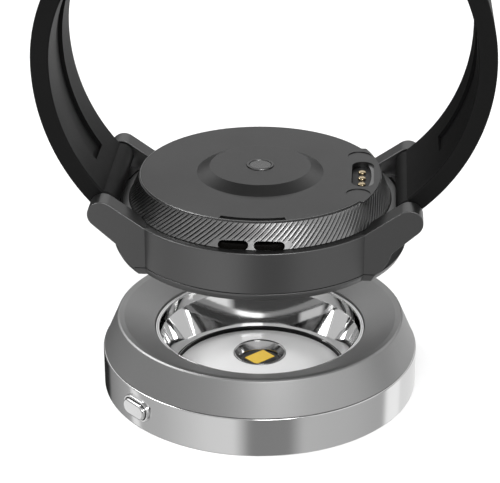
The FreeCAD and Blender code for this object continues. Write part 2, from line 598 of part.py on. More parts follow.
def chain(widest, height, radii, stops):
    """Tangent arcs upwards from the widest point; angles run from the widest point."""
    arcs = []
    centre = Vector(widest - radii[0], 0, height)
    angle_now = 0
    for i, (r, stop) in enumerate(zip(radii, stops)):
        if i:
            before = arcs[-1]
            joint = path_point(before[0], before[1], angle_now)
            centre = path_point(joint, -r, angle_now)
        arcs.append((centre, r, angle_now, stop))
        angle_now = stop
    return arcs


def strap_shape(widest, height, low_radius, low_stop, radii, stops, recess_stop):
    """One strap half on the +X side: low arc from the lug, then the arcs above the widest point."""
    thick, width = size("strap_thick"), size("strap_width")
    low = (Vector(widest - low_radius, 0, height), low_radius, low_stop, 0)
    arcs = [low] + chain(widest, height, radii, stops)
    shape = band(arcs, thick, width)
    knuckle = Part.makeCylinder(size("knuckle_radius"), width,
                                Vector(size("bar_x"), -width / 2, size("bar_z")), Vector(0, 1, 0))
    hole = Part.makeCylinder(size("bar_radius") + size("pin_clear"), width + 2,
                             Vector(size("bar_x"), -width / 2 - 1, size("bar_z")), Vector(0, 1, 0))
    recess_arcs = [(low[0], low_radius - thick + 0.6, -35, 0)]
    recess_arcs += [(c, r - thick + 0.6, a, min(b, recess_stop)) for c, r, a, b in arcs[1:2]]
    recess = band(recess_arcs, 1.2, 6.4)
    return shape.fuse(knuckle).cut([hole, recess]).removeSplitter(), arcs


tail, tail_arcs = strap_shape(
    size("tail_widest"), size("tail_height"), size("tail_low_radius"), -49.5,
    (size("tail_radius"), size("tail_open_radius")),
    (size("tail_open_angle"), size("tail_end_angle")), 40)
open_arc = tail_arcs[-1]
half = size("strap_width") / 2
for i in range(7):
    a = size("tail_end_angle") - 12 - 4.9 * i
    spot = path_point(open_arc[0], open_arc[1] - 6, a)
    reach = path_point(open_arc[0], open_arc[1] + 6, a) - spot
    one = Part.makeCylinder(1.15, 12, spot, reach)
    tail = tail.cut([one, one.translated(path_point(open_arc[0], 1.0, a + 90) - open_arc[0])])
tip = path_point(open_arc[0], open_arc[1], size("tail_end_angle"))
trim = Part.makeBox(half + 2, 2 * half + 2, 20, Vector(tip.x - 2, -half - 1, tip.z - 12))
trim = trim.cut(Part.makeCylinder(half, 20, Vector(tip.x + half, 0, tip.z - 12)))
tail = tail.cut(trim).removeSplitter()
keep("tail_strap", solid("tail_strap", tail))

# The short half ends in a knuckle round the buckle's pin, slotted for the tongue.
short, short_arcs = strap_shape(
    size("short_widest"), size("short_height"), size("short_low_radius"), -42,
    (size("short_radius"),), (size("short_end_angle"),), 30)
loop_centre = short_arcs[-1][0]
pin_spot = path_point(loop_centre, size("short_radius") - size("strap_thick") / 2, size("buckle_angle"))
end_knuckle = Part.makeCylinder(1.85, 2 * half, Vector(pin_spot.x, -half, pin_spot.z), Vector(0, 1, 0))
end_arc = [(loop_centre, size("short_radius"), size("short_end_angle") - 1, size("buckle_angle") - 1)]
end_piece = band(end_arc, size("strap_thick"), 2 * half).fuse(end_knuckle)
pin_hole = Part.makeCylinder(size("buckle_bar") + size("pin_clear"), 2 * half + 2,
                             Vector(pin_spot.x, -half - 1, pin_spot.z), Vector(0, 1, 0))
tongue_slot = Part.makeBox(7, 3.4, 8, Vector(pin_spot.x - 3, -1.7, pin_spot.z - 3))
short = short.fuse(end_piece).cut([pin_hole, tongue_slot]).removeSplitter()
left = Vector(1, 0, 0)
keep("buckle_strap", solid("buckle_strap", short.mirror(Vector(), left)))

# Keepers: the fixed one is moulded on, the loose one slides round the arc of the short half.


def keeper(middle, clear):
    spread = math.degrees(size("keeper_width") / size("short_radius")) / 2
    outer = size("short_radius")
    room, skin = size("keeper_room"), size("keeper_skin")
    shell = band([(loop_centre, outer + room + skin, middle - spread, middle + spread)],
                 room + 2 * skin + size("strap_thick") + clear, 2 * (half + clear + skin))
    gap = band([(loop_centre, outer + room, middle - spread - 1, middle + spread + 1)],
               room + size("strap_thick") + clear, 2 * (half + clear))
    return shell.cut(gap).mirror(Vector(), left)


keep("fixed_keeper", solid("fixed_keeper", keeper(66, 0)))
keep("sliding_keeper", solid("sliding_keeper", keeper(44, 0.25)))

# Buckle: pin, frame and tongue, drawn flat along X from the pin and then set in place.
reach, wide, bar = size("buckle_reach"), size("buckle_half_width"), size("buckle_bar")
buckle_place = Placement(Vector(-pin_spot.x, 0, pin_spot.z),
                         Rotation(Vector(0, 1, 0), size("buckle_angle") - 90))
window_half = half + 0.5
pin = Part.makeCylinder(bar, 2 * wide - 0.8, Vector(0, -wide + 0.4, 0), Vector(0, 1, 0))
keep("buckle_pin", solid("buckle_pin", pin, buckle_place))
frame_block = Part.makeBox(reach + 1.6, 2 * wide, 2.2, Vector(-1.6, -wide, -1.1))
frame_block = frame_block.makeFillet(0.9, [
    e for e in frame_block.Edges if abs(e.Vertexes[0].Y - e.Vertexes[1].Y) < 0.1
    and abs(e.Vertexes[0].X - e.Vertexes[1].X) < 0.1])
frame_block = frame_block.makeFillet(0.45, [e for e in frame_block.Edges if e.BoundBox.ZLength < 0.01])
window = Part.makeBox(reach + 1.6 - 2.4 + 2, 2 * window_half, 6, Vector(-3.6, -window_half, -3))
frame_hole = Part.makeCylinder(bar + 0.04, 2 * wide - 0.7, Vector(0, -wide + 0.35, 0), Vector(0, 1, 0))
keep("buckle_frame", solid("buckle_frame", frame_block.cut([window, frame_hole]), buckle_place))
tongue = Part.Face(Part.makePolygon([
    Vector(0, 0, 0.9), Vector(reach - 2.6, 0, 1.18), Vector(reach - 0.4, 0, 1.18),
    Vector(reach + 0.1, 0, 1.5), Vector(reach - 0.2, 0, 2.1), Vector(reach - 2.6, 0, 2.25),
    Vector(0, 0, 1.8), Vector(0, 0, 0.9)])).extrude(Vector(0, 2.4, 0))
tongue.translate(Vector(0, -1.2, 0))
eye = Part.makeCylinder(1.8, 2.4, Vector(0, -1.2, 0), Vector(0, 1, 0))
eye_hole = Part.makeCylinder(bar + 0.05, 4, Vector(0, -2, 0), Vector(0, 1, 0))
keep("buckle_tongue", solid("buckle_tongue", tongue.fuse(eye).cut(eye_hole), buckle_place))
print("buckle pin at", -pin_spot.x, pin_spot.z, "loop centre", -loop_centre.x, loop_centre.z)

# ---------------------------------------------------------------- check and write
doc.recompute()
faults = []
for item in doc.Objects:
    if any(word in item.State for word in ("Invalid", "Error")):
        faults.append(item.Name)
for item in nodes:
    if item.Shape.isNull() or not item.Shape.isValid():
        faults.append(item.Label)
if faults:
    raise RuntimeError("these did not build: " + ", ".join(faults))
os.makedirs("parts", exist_ok=True)
for item in nodes:
    item.Shape.exportStep("parts/%s.step" % item.Label)
    box = item.Shape.BoundBox
    print("%-22s solids %d vol %9.2f  x %.2f %.2f  y %.2f %.2f  z %.2f %.2f" % (
        item.Label, len(item.Shape.Solids), item.Shape.Volume, box.XMin, box.XMax,
        box.YMin, box.YMax, box.ZMin, box.ZMax))
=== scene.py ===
import bpy
import math
from mathutils import Matrix, Vector


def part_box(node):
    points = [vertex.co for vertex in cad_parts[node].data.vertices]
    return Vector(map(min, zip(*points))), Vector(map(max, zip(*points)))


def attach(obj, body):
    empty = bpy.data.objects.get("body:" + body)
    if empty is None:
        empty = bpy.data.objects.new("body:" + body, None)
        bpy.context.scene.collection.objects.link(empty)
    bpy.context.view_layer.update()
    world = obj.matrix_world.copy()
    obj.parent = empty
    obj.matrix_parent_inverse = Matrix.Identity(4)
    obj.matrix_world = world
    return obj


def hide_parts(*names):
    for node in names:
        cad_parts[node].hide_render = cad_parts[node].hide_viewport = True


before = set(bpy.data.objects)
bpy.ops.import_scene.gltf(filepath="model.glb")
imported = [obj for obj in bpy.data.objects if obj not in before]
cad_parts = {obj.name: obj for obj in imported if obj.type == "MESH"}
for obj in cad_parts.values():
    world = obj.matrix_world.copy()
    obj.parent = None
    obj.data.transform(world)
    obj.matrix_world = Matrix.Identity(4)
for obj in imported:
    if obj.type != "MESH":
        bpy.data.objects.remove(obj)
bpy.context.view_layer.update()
bpy.ops.object.select_all(action="DESELECT")

# ------------------------------------------------------------------ camera
# A long lens looks down at the watch from the loudspeaker's side, turned a little to the left.
SIGHT_HEIGHT = 0.025
camera_turn = math.radians(4.0)
camera_drop = math.radians(25.36)
right = Vector((math.cos(camera_turn), math.sin(camera_turn), 0))
away = Vector((-math.sin(camera_turn), math.cos(camera_turn), 0))
forward = away * math.cos(camera_drop) - Vector((0, 0, math.sin(camera_drop)))
up = right.cross(forward)
camera_data = bpy.data.cameras.new("camera")
camera_data.lens = 132.5
camera_data.sensor_width = 36.0
camera_data.clip_start = 0.01
camera = bpy.data.objects.new("camera", camera_data)
bpy.context.scene.collection.objects.link(camera)
spot = Vector((0, 0, SIGHT_HEIGHT)) - right * 0.00167 + up * 0.00024 - forward * 0.3056
camera.matrix_world = Matrix.Translation(spot) @ Matrix((right, up, -forward)).transposed().to_4x4()
bpy.context.scene.camera = camera

# ------------------------------------------------------------------ floor and studio
# White paper on a table.  The paper isn't seen in the metal, so that the cards set out round the
# table's edge draw the soft upright bands that polished steel shows in a studio.
bpy.ops.mesh.primitive_plane_add(size=4.0, location=(0, 0, 0))
floor = bpy.context.object
floor.name = "floor"
floor.visible_glossy = False
paper = bpy.data.materials.new("floor_paper")
paper.use_nodes = True
paper_shader = paper.node_tree.nodes["Principled BSDF"]
paper_shader.inputs["Base Color"].default_value = (0.94, 0.94, 0.94, 1)
paper_shader.inputs["Roughness"].default_value = 0.7
paper_shader.inputs["Specular IOR Level"].default_value = 0.1
floor.data.materials.append(paper)
bpy.ops.object.select_all(action="DESELECT")

CARD_STOPS = (  # share of the turn from the front of the table, and the card's brightness
    (0.00, 0.24), (0.010, 0.26), (0.042, 0.76), (0.10, 0.72), (0.20, 0.50), (0.262, 0.46),
    (0.268, 0.90), (0.288, 0.90), (0.294, 0.42), (0.385, 0.24), (0.40, 0.02), (0.485, 0.02),
    (0.495, 0.83), (0.64, 0.80), (0.645, 1.0), (0.69, 1.0), (0.705, 0.42), (0.80, 0.50),
    (0.90, 0.54), (0.93, 0.25), (1.0, 0.24))
LOW_STOPS = ((0.0, 0.07), (0.73, 0.07), (0.76, 0.95), (0.88, 0.95), (0.91, 0.07), (1.0, 0.07))
SKY_STOPS = ((0.0, 0.95), (0.54, 0.95), (0.72, 0.38), (1.0, 0.34))  # sine of the height, brightness
LOW_CARD_TOP = 0.30  # sine of the height
studio = bpy.data.worlds.new("studio")
bpy.context.scene.world = studio
studio.use_nodes = True
sky = studio.node_tree.nodes
sky_links = studio.node_tree.links
way = sky.new("ShaderNodeTexCoord")
split = sky.new("ShaderNodeSeparateXYZ")
sky_links.new(way.outputs["Generated"], split.inputs[0])
bearing = sky.new("ShaderNodeMath")
bearing.operation = "ARCTAN2"
sky_links.new(split.outputs["X"], bearing.inputs[0])
sky_links.new(split.outputs["Y"], bearing.inputs[1])
share = sky.new("ShaderNodeMapRange")
share.inputs["From Min"].default_value = -math.pi
share.inputs["From Max"].default_value = math.pi
sky_links.new(bearing.outputs[0], share.inputs["Value"])


def tone_ramp(stops, place_on_ramp):
    """A colour ramp of greys, read at a value."""
    node = sky.new("ShaderNodeValToRGB")
    ramp = node.color_ramp
    ramp.elements[0].position, ramp.elements[1].position = stops[0][0], stops[-1][0]
    for place, _ in stops[1:-1]:
        ramp.elements.new(place)
    for stop, (_, tone) in zip(ramp.elements, stops):
        stop.color = (tone, tone, tone, 1)
    sky_links.new(place_on_ramp, node.inputs["Fac"])
    return node.outputs["Color"]


def mix_colours(nodes, links, factor, first, second):
    """Blend two colours; a constant is set on its socket and anything else is linked to it."""
    node = nodes.new("ShaderNodeMix")
    node.data_type = "RGBA"
    links.new(factor, node.inputs["Factor"])
    for label, value in (("A", first), ("B", second)):
        if isinstance(value, tuple):
            node.inputs[label].default_value = value
        else:
            links.new(value, node.inputs[label])
    return node.outputs["Result"]


def under(limit):
    """1 where a direction's height is less than the limit."""
    test = sky.new("ShaderNodeMath")
    test.operation = "LESS_THAN"
    test.inputs[1].default_value = limit
    sky_links.new(split.outputs["Z"], test.inputs[0])
    return test.outputs[0]


round_table, height_share = share.outputs["Result"], split.outputs["Z"]
above = mix_colours(sky, sky_links, under(LOW_CARD_TOP),
                    tone_ramp(SKY_STOPS, height_share), tone_ramp(LOW_STOPS, round_table))
seen = mix_colours(sky, sky_links, under(0.0), above, tone_ramp(CARD_STOPS, round_table))
in_metal = sky.new("ShaderNodeLightPath").outputs["Is Glossy Ray"]
room = mix_colours(sky, sky_links, in_metal, (0.97, 0.97, 0.97, 1), seen)
sky_links.new(room, sky["Background"].inputs["Color"])
bpy.context.scene.view_settings.view_transform = "Standard"


def softbox(name, place, wide, tall, watts):
    """A square lamp with a diffusing front, aimed at the middle of the watch."""
    light = bpy.data.lights.new(name, "AREA")
    light.shape = "RECTANGLE"
    light.size, light.size_y = wide, tall
    light.energy = watts
    holder = bpy.data.objects.new(name, light)
    bpy.context.scene.collection.objects.link(holder)
    holder.location = place
    aim = Vector((0, 0, SIGHT_HEIGHT)) - Vector(place)
    holder.rotation_euler = aim.to_track_quat("-Z", "Y").to_euler()
    return holder


softbox("key_softbox", (0.15, -0.55, 0.42), 0.30, 0.12, 1.6)
softbox("left_softbox", (-0.45, 0.10, 0.55), 0.35, 0.25, 1.6)
softbox("bowl_fill", (0.02, -0.50, 0.37), 0.30, 0.10, 1.2).visible_glossy = False

# ------------------------------------------------------------------ lamp wall
# A band of stainless steel, turned on a lathe and polished bright round its outside.
# One obround window is milled through it for the push button's guide.
MM = 0.001
LATHE_STEPS = 192


def span(node):
    """A CAD node's lowest and highest corners, in millimetres."""
    low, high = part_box(node)
    return low / MM, high / MM


def take(piece):
    """Select this piece and nothing else."""
    bpy.ops.object.select_all(action="DESELECT")
    piece.select_set(True)
    bpy.context.view_layer.objects.active = piece


def name_new(name, apply=True):
    """Name the piece that was just added, and apply its place and size."""
    piece = bpy.context.object
    piece.name = name
    if apply:
        bpy.ops.object.transform_apply()
    return piece


def close_mesh():
    """Turn every face outwards and leave edit mode."""
    bpy.ops.mesh.select_all(action="SELECT")
    bpy.ops.mesh.normals_make_consistent(inside=False)
    bpy.ops.object.mode_set(mode="OBJECT")


def lathe(name, outline, rounding=0.0, steps=LATHE_STEPS):
    """Turned work in millimetres: a section drawn corner by corner, its corners eased, then spun.
    A section that doesn't start on the axis is closed."""
    if outline[0][0] > 0:
        outline = outline + outline[:1]
    bpy.ops.mesh.primitive_plane_add(size=0.01, location=(outline[0][0], 0, outline[0][1]))
    piece = name_new(name, apply=False)
    bpy.ops.object.mode_set(mode="EDIT")
    bpy.ops.mesh.merge(type="CENTER")
    for (r0, z0), (r1, z1) in zip(outline, outline[1:]):
        bpy.ops.mesh.extrude_region_move(TRANSFORM_OT_translate={"value": (r1 - r0, 0, z1 - z0)})
    bpy.ops.mesh.select_all(action="SELECT")
    bpy.ops.mesh.remove_doubles(threshold=0.001)
    if rounding:
        bpy.ops.mesh.bevel(offset=rounding, segments=4, affect="VERTICES")
        bpy.ops.mesh.select_all(action="SELECT")
    bpy.ops.mesh.spin(steps=steps, angle=2 * math.pi, center=(0, 0, 0), axis=(0, 0, 1))
    bpy.ops.mesh.select_all(action="SELECT")
    bpy.ops.mesh.remove_doubles(threshold=0.001)
    close_mesh()
    bpy.ops.object.transform_apply()
    return piece


def set_down(piece, place, turn=(0, 0, 0)):
    """Turn a piece about its own origin, put it in its place and apply both."""
    piece.rotation_euler = turn
    piece.location = place
    take(piece)
    bpy.ops.object.transform_apply()
    return piece


def on_arc(centre, radius, degrees):
    """A place on an arc, across and along the plane that the arc lies in."""
    angle = math.radians(degrees)
    return centre[0] + radius * math.cos(angle), centre[1] + radius * math.sin(angle)


def set_on_wall(piece, bearing_deg, radius, height):
    """Move a piece whose front looks along -Y on to the wall, to look outwards at a bearing."""
    place = (*on_arc((0, 0), radius, bearing_deg), height)
    return set_down(piece, place, (0, 0, math.radians(bearing_deg) + math.pi / 2))


def obround(name, length, width, depth, rounding=0.0):
    """A bar with half-round ends, lying along X, its front and back looking along Y."""
    bpy.ops.mesh.primitive_cylinder_add(vertices=64, radius=width / 2, depth=depth,
                                        rotation=(math.pi / 2, 0, 0))
    piece = name_new(name)
    run = (length - width) / 2
    for side in (-1, 1):
        for corner in piece.data.vertices:
            corner.select = corner.co.x * side > (0 if side > 0 else -1e-4)
        for part in (*piece.data.polygons, *piece.data.edges):
            part.select = False
        bpy.ops.object.mode_set(mode="EDIT")
        bpy.ops.mesh.select_mode(type="VERT")
        bpy.ops.transform.translate(value=(side * run, 0, 0))
        bpy.ops.object.mode_set(mode="OBJECT")
    if rounding:
        ease_edges(piece, rounding)
    return piece


def ease_edges(piece, width, angle=35, segments=3):
    """Round every edge that is sharper than the angle."""
    take(piece)
    bevel = piece.modifiers.new("eased_edges", "BEVEL")
    bevel.width = width
    bevel.segments = segments
    bevel.limit_method = "ANGLE"
    bevel.angle_limit = math.radians(angle)
    bpy.ops.object.modifier_apply(modifier=bevel.name)
    return piece


def combine(piece, others, operation):
    """Join other solids to a piece, or cut them away from it."""
    take(piece)
    for other in others:
        joint = piece.modifiers.new(operation.lower(), "BOOLEAN")
        joint.operation = operation
        joint.solver = "EXACT"
        joint.object = other
        bpy.ops.object.modifier_apply(modifier=joint.name)
        bpy.data.objects.remove(other)
    return piece


def fit(piece, material, slot, body, *nodes, smooth=35):
    """Bring a finished piece to metres, give it its material and put it on its body."""
    take(piece)
    piece.scale = (MM, MM, MM)
    bpy.ops.object.transform_apply()
    bpy.ops.object.shade_smooth_by_angle(angle=math.radians(smooth))
    flatten = piece.modifiers.new("weighted_normals", "WEIGHTED_NORMAL")
    flatten.weight = 100
    flatten.keep_sharp = True
    bpy.ops.object.modifier_apply(modifier=flatten.name)
    piece.data.materials.clear()
    piece.data.materials.append(material)
    if nodes:
        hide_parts(*nodes)
    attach(piece, body)
    piece.select_set(False)
    return piece


def add_math(nodes, links, operation, first, second):
    """One arithmetic node; a number is set on its socket and anything else is linked to it."""
    node = nodes.new("ShaderNodeMath")
    node.operation = operation
    for socket, value in zip(node.inputs, (first, second)):
        if isinstance(value, (int, float)):
            socket.default_value = value
        else:
            links.new(value, socket)
    return node.outputs[0]


def finish_group(name, turned):
    """A shader group for a finish: tone, roughness and fine relief from noise on the piece itself.
    Turned work reads the noise by radius and height, which draws rings round the axis."""
    group = bpy.data.node_groups.new(name, "ShaderNodeTree")
    face = group.interface
    for label in ("Pale", "Deep"):
        face.new_socket(label, in_out="INPUT", socket_type="NodeSocketColor")
    for label in ("Grain", "Smoothest", "Roughest", "Relief"):
        face.new_socket(label, in_out="INPUT", socket_type="NodeSocketFloat")
    for label, kind in (("Color", "NodeSocketColor"), ("Roughness", "NodeSocketFloat"),
                        ("Normal", "NodeSocketVector")):
        face.new_socket(label, in_out="OUTPUT", socket_type=kind)
    nodes, links = group.nodes, group.links
    given = nodes.new("NodeGroupInput")
    result = nodes.new("NodeGroupOutput")
    place = nodes.new("ShaderNodeTexCoord").outputs["Object"]
    if turned:
        split = nodes.new("ShaderNodeSeparateXYZ")
        links.new(place, split.inputs[0])
        across = add_math(nodes, links, "POWER", split.outputs["X"], 2)
        along = add_math(nodes, links, "POWER", split.outputs["Y"], 2)
        radius = add_math(nodes, links, "SQRT", add_math(nodes, links, "ADD", across, along), 0)
        rings = nodes.new("ShaderNodeCombineXYZ")
        links.new(radius, rings.inputs["X"])
        links.new(split.outputs["Z"], rings.inputs["Y"])
        links.new(add_math(nodes, links, "MULTIPLY", split.outputs["X"], 0.02), rings.inputs["Z"])
        place = rings.outputs[0]
    fine = nodes.new("ShaderNodeTexNoise")
    fine.inputs["Detail"].default_value = 4
    links.new(place, fine.inputs["Vector"])
    links.new(given.outputs["Grain"], fine.inputs["Scale"])
    broad = nodes.new("ShaderNodeTexNoise")
    broad.inputs["Detail"].default_value = 3
    broad.inputs["Scale"].default_value = 90
    links.new(nodes.new("ShaderNodeTexCoord").outputs["Object"], broad.inputs["Vector"])
    blend = nodes.new("ShaderNodeMix")
    blend.inputs["Factor"].default_value = 0.5
    links.new(fine.outputs["Fac"], blend.inputs["A"])
    links.new(broad.outputs["Fac"], blend.inputs["B"])
    tone = mix_colours(nodes, links, blend.outputs["Result"], given.outputs["Pale"],
                       given.outputs["Deep"])
    links.new(tone, result.inputs["Color"])
    gloss = nodes.new("ShaderNodeMapRange")
    links.new(blend.outputs["Result"], gloss.inputs["Value"])
    gloss.inputs["From Min"].default_value = 0.3
    gloss.inputs["From Max"].default_value = 0.7
    links.new(given.outputs["Smoothest"], gloss.inputs["To Min"])
    links.new(given.outputs["Roughest"], gloss.inputs["To Max"])
    links.new(gloss.outputs["Result"], result.inputs["Roughness"])
    relief = nodes.new("ShaderNodeBump")
    links.new(given.outputs["Relief"], relief.inputs["Strength"])
    relief.inputs["Distance"].default_value = 0.00005
    links.new(fine.outputs["Fac"], relief.inputs["Height"])
    links.new(relief.outputs["Normal"], result.inputs["Normal"])
    return group


moulded_surface = finish_group("moulded_surface", turned=False)
turned_surface = finish_group("turned_surface", turned=True)


def finish(name, surface, pale, deep, grain, gloss, relief, **sockets):
    """A material whose colour, gloss and relief come from one of the surface groups.  A single
    number stands for a grey."""
    material = bpy.data.materials.new(name)
    material.use_nodes = True
    nodes, links = material.node_tree.nodes, material.node_tree.links
    shader = nodes["Principled BSDF"]
    for label, value in sockets.items():
        shader.inputs[label.replace("_", " ")].default_value = value
    texture = nodes.new("ShaderNodeGroup")
    texture.node_tree = surface
    for label, tone in (("Pale", pale), ("Deep", deep)):
        colour = tone if isinstance(tone, tuple) else (tone, tone, tone)
        texture.inputs[label].default_value = (*colour, 1)
    texture.inputs["Grain"].default_value = grain
    texture.inputs["Smoothest"].default_value, texture.inputs["Roughest"].default_value = gloss
    texture.inputs["Relief"].default_value = relief
    links.new(texture.outputs["Color"], shader.inputs["Base Color"])
    links.new(texture.outputs["Roughness"], shader.inputs["Roughness"])
    links.new(texture.outputs["Normal"], shader.inputs["Normal"])
    return material


polished_steel = finish("polished_steel", turned_surface, 0.82, 0.77, 9000,
                        (0.10, 0.15), 0.02, Metallic=1.0)
wall_high = span("lamp_wall")[1]
wall_radius, wall_top = wall_high.x, wall_high.z
wall_thick = 1.2
BUTTON_BEARING = 225
cap_low, cap_high = span("lamp_button_cap")
button_level = (cap_low.z + cap_high.z) / 2
button_length, button_width = 5.3, 2.7
guide_rim = 0.5
lamp_wall = lathe("lamp_wall", [
    (wall_radius - wall_thick, 0), (wall_radius, 0), (wall_radius, wall_top),
    (wall_radius - wall_thick, wall_top)], rounding=0.22)
window = obround("window", button_length + 2 * guide_rim, button_width + 2 * guide_rim, 6)
set_on_wall(window, BUTTON_BEARING, wall_radius, button_level)
combine(lamp_wall, [window], "DIFFERENCE")
fit(lamp_wall, polished_steel, "polished_steel", "lamp", "lamp_wall")

# ------------------------------------------------------------------ lamp top ring
# The lamp's shoulder: aluminium alloy, turned, then bead-blasted to an even satin.
# It slopes up to a soft crest and dips as a shallow dish to the bowl's mouth.
satin_alloy = finish("satin_alloy", moulded_surface, 0.44, 0.39, 5200, (0.40, 0.48), 0.10, Metallic=1.0)
crest_radius = 23.75
crest_height = span("lamp_top_ring")[1].z
bead_top = span("lamp_mouth_ring")[1].z
mouth_outer = span("lamp_mouth_ring")[1].x + 0.05
dish_edge = 10.15
ring_foot = wall_top + 0.05
skin = 1.3
lamp_top_ring = lathe("lamp_top_ring", [
    (wall_radius - 0.15, ring_foot), (crest_radius + 0.3, crest_height - 0.2),
    (crest_radius, crest_height), (crest_radius - 0.9, crest_height - 0.2),
    (mouth_outer, dish_edge), (mouth_outer, dish_edge - 1.25),
    (crest_radius - 0.9, crest_height - 0.2 - skin), (crest_radius - 0.1, crest_height - 0.4 - skin),
    (wall_radius - 0.15 - skin, ring_foot)], rounding=0.06)
fit(lamp_top_ring, satin_alloy, "satin_alloy", "lamp", "lamp_top_ring")

# ------------------------------------------------------------------ bowl
# The bright bowl is spun from aluminium and plated; its mouth is a rolled double bead, and a
# bead and a groove at its foot seat the floor.  Below a set height the seat's colour is painted near black:
# painted shade.
bowl_chrome = finish("bowl_chrome", turned_surface, 0.74, 0.68, 5000, (0.03, 0.06), 0.01, Metallic=1.0)
mouth_radius = span("lamp_mouth_ring")[1].x - 0.7
BEADS = ((0, 0.25), (0.08, 0), (0.25, 0), (0.33, 0.18), (0.42, 0), (0.6, 0), (0.7, 0.2),
         (0.7, 0.7), (0.5, 0.7), (0.5, 0.25))  # how far outside the mouth and below the top
lamp_mouth_ring = lathe("lamp_mouth_ring", [
    (mouth_radius + out, bead_top - down) for out, down in BEADS], rounding=0.05)
fit(lamp_mouth_ring, bowl_chrome, "bowl_chrome", "lamp", "lamp_mouth_ring", smooth=30)

bowl_foot = 14.7
PAINTED_SHADE_HEIGHT = 1.58
bowl_top = bead_top - 0.3
floor_edge = span("lamp_floor")[1].x
seat_under, seat_top = 0.55, 0.95
lamp_reflector = lathe("lamp_reflector", [
    (mouth_radius + 0.05, bowl_top), (mouth_radius, 7.6), (bowl_foot + 0.08, 1.5),
    (bowl_foot - 0.02, 1.45), (bowl_foot - 0.1, 1.62), (bowl_foot - 0.2, 1.55),
    (bowl_foot - 0.24, seat_top), (floor_edge + 0.05, seat_top), (floor_edge + 0.05, seat_under),
    (bowl_foot + 0.35, seat_under), (bowl_foot + 0.6, 1.5), (mouth_radius + 0.42, 7.2),
    (mouth_radius + 0.45, bowl_top)], rounding=0.06)
# Painted shade: a copy of the bowl chrome whose colour turns near black below the shade height, standing in
# for the shadow and dark reflection in the seat.
painted_shade_chrome = bowl_chrome.copy()
painted_shade_chrome.name = "painted_shade_chrome"
painted_shade_nodes, painted_shade_links = painted_shade_chrome.node_tree.nodes, painted_shade_chrome.node_tree.links
height = painted_shade_nodes.new("ShaderNodeSeparateXYZ")
painted_shade_links.new(painted_shade_nodes.new("ShaderNodeTexCoord").outputs["Object"], height.inputs[0])
painted_shade_mask = add_math(painted_shade_nodes, painted_shade_links, "LESS_THAN", height.outputs["Z"], PAINTED_SHADE_HEIGHT * MM)
painted_shade_tone = mix_colours(painted_shade_nodes, painted_shade_links, painted_shade_mask, painted_shade_nodes["Group"].outputs["Color"],
                        (0.025, 0.025, 0.025, 1))
painted_shade_links.new(painted_shade_tone, painted_shade_nodes["Principled BSDF"].inputs["Base Color"])
fit(lamp_reflector, painted_shade_chrome, "bowl_chrome", "lamp", "lamp_reflector", smooth=15)

# ------------------------------------------------------------------ lamp floor and light source
# A shallow cone of steel, enamelled white, rises to a bright cup.  In the cup a dark ceramic
# base carries the light source, whose face is yellow phosphor set in silicone.
white_enamel = finish("white_enamel", moulded_surface, 0.90, 0.87, 2600,
                      (0.30, 0.38), 0.05, Coat_Weight=0.2, Coat_Roughness=0.2)
led_dark = finish("led_dark", turned_surface, 0.075, 0.055, 3000,
                  (0.32, 0.42), 0.10, Specular_IOR_Level=0.6)
led_ceramic = finish("led_ceramic", moulded_surface, 0.075, 0.055, 6000, (0.45, 0.60), 0.15)
led_yellow = finish("led_yellow", moulded_surface, (0.98, 0.66, 0.075), (0.93, 0.60, 0.06), 14000,
                    (0.42, 0.55), 0.20)


def disc(name, radius, low, high, rounding=0.0):
    """A plain round plate on the axis."""
    return lathe(name, [(0, low), (radius, low), (radius, high), (0, high)], rounding)


cup_high = span("lamp_led_cup")[1]
cup_radius, cup_top = cup_high.x, cup_high.z
floor_top = span("lamp_floor")[1].z
lamp_floor = lathe("lamp_floor", [
    (floor_edge, seat_top), (cup_radius + 0.03, floor_top), (cup_radius + 0.03, floor_top - 0.4),
    (floor_edge - 1.15, seat_under), (floor_edge, seat_under)], rounding=0.06)
fit(lamp_floor, white_enamel, "white_enamel", "lamp", "lamp_floor")
lamp_led_cup = lathe("lamp_led_cup", [
    (cup_radius, cup_top - 0.7), (cup_radius, cup_top - 0.1), (cup_radius - 0.15, cup_top),
    (cup_radius - 0.35, cup_top - 0.15), (cup_radius - 1.05, 2.9), (cup_radius - 1.05, 2.45),
    (cup_radius - 0.6, 2.45)], rounding=0.06)
# Painted shade: the cup's chrome is a darker copy of the bowl's. Its colour is lowered to stand in for the
# shadow and dim reflections inside the cup.
cup_chrome_painted_shade = finish("cup_chrome_painted_shade", turned_surface, 0.42, 0.36, 5000, (0.10, 0.16), 0.02, Metallic=1.0)
fit(lamp_led_cup, cup_chrome_painted_shade, "bowl_chrome", "lamp", "lamp_led_cup", smooth=50)
base_high = span("lamp_led_base")[1]
lamp_led_base = disc("lamp_led_base", base_high.x, base_high.z - 0.45, base_high.z, 0.06)
fit(lamp_led_base, led_dark, "led_dark", "lamp", "lamp_led_base")
LED_TURN = 45
led_length, led_width = 4.15, 2.95


def block(name, size, place, turn=0.0):
    """A square-cornered block, turned about the upright by some degrees."""
    bpy.ops.mesh.primitive_cube_add(size=1, location=place, rotation=(0, 0, math.radians(turn)),
                                    scale=size)
    return name_new(name)


def led_slab(node, grow, material, slot):
    """One flat layer of the light source, turned with it."""
    low, high = span(node)
    layer = block(node, (led_length + grow, led_width + grow, high.z - low.z),
                  (0, 0, (low.z + high.z) / 2), LED_TURN)
    ease_edges(layer, min(0.05, (high.z - low.z) * 0.3))
    return fit(layer, material, slot, "lamp", node)


led_slab("lamp_led_package", 0.35, led_ceramic, "led_ceramic")
led_slab("lamp_led_phosphor", 0.0, led_yellow, "led_yellow")

# ------------------------------------------------------------------ lamp push button
# A chromed cap with half-round ends slides in a fixed guide ring let into the wall.


def rod(name, radius, length, place, turn=(math.pi / 2, 0, 0), vertices=48):
    """A plain round bar; without a turn of its own it lies along Y."""
    bpy.ops.mesh.primitive_cylinder_add(vertices=vertices, radius=radius, depth=length,
                                        location=place, rotation=turn)
    return name_new(name)


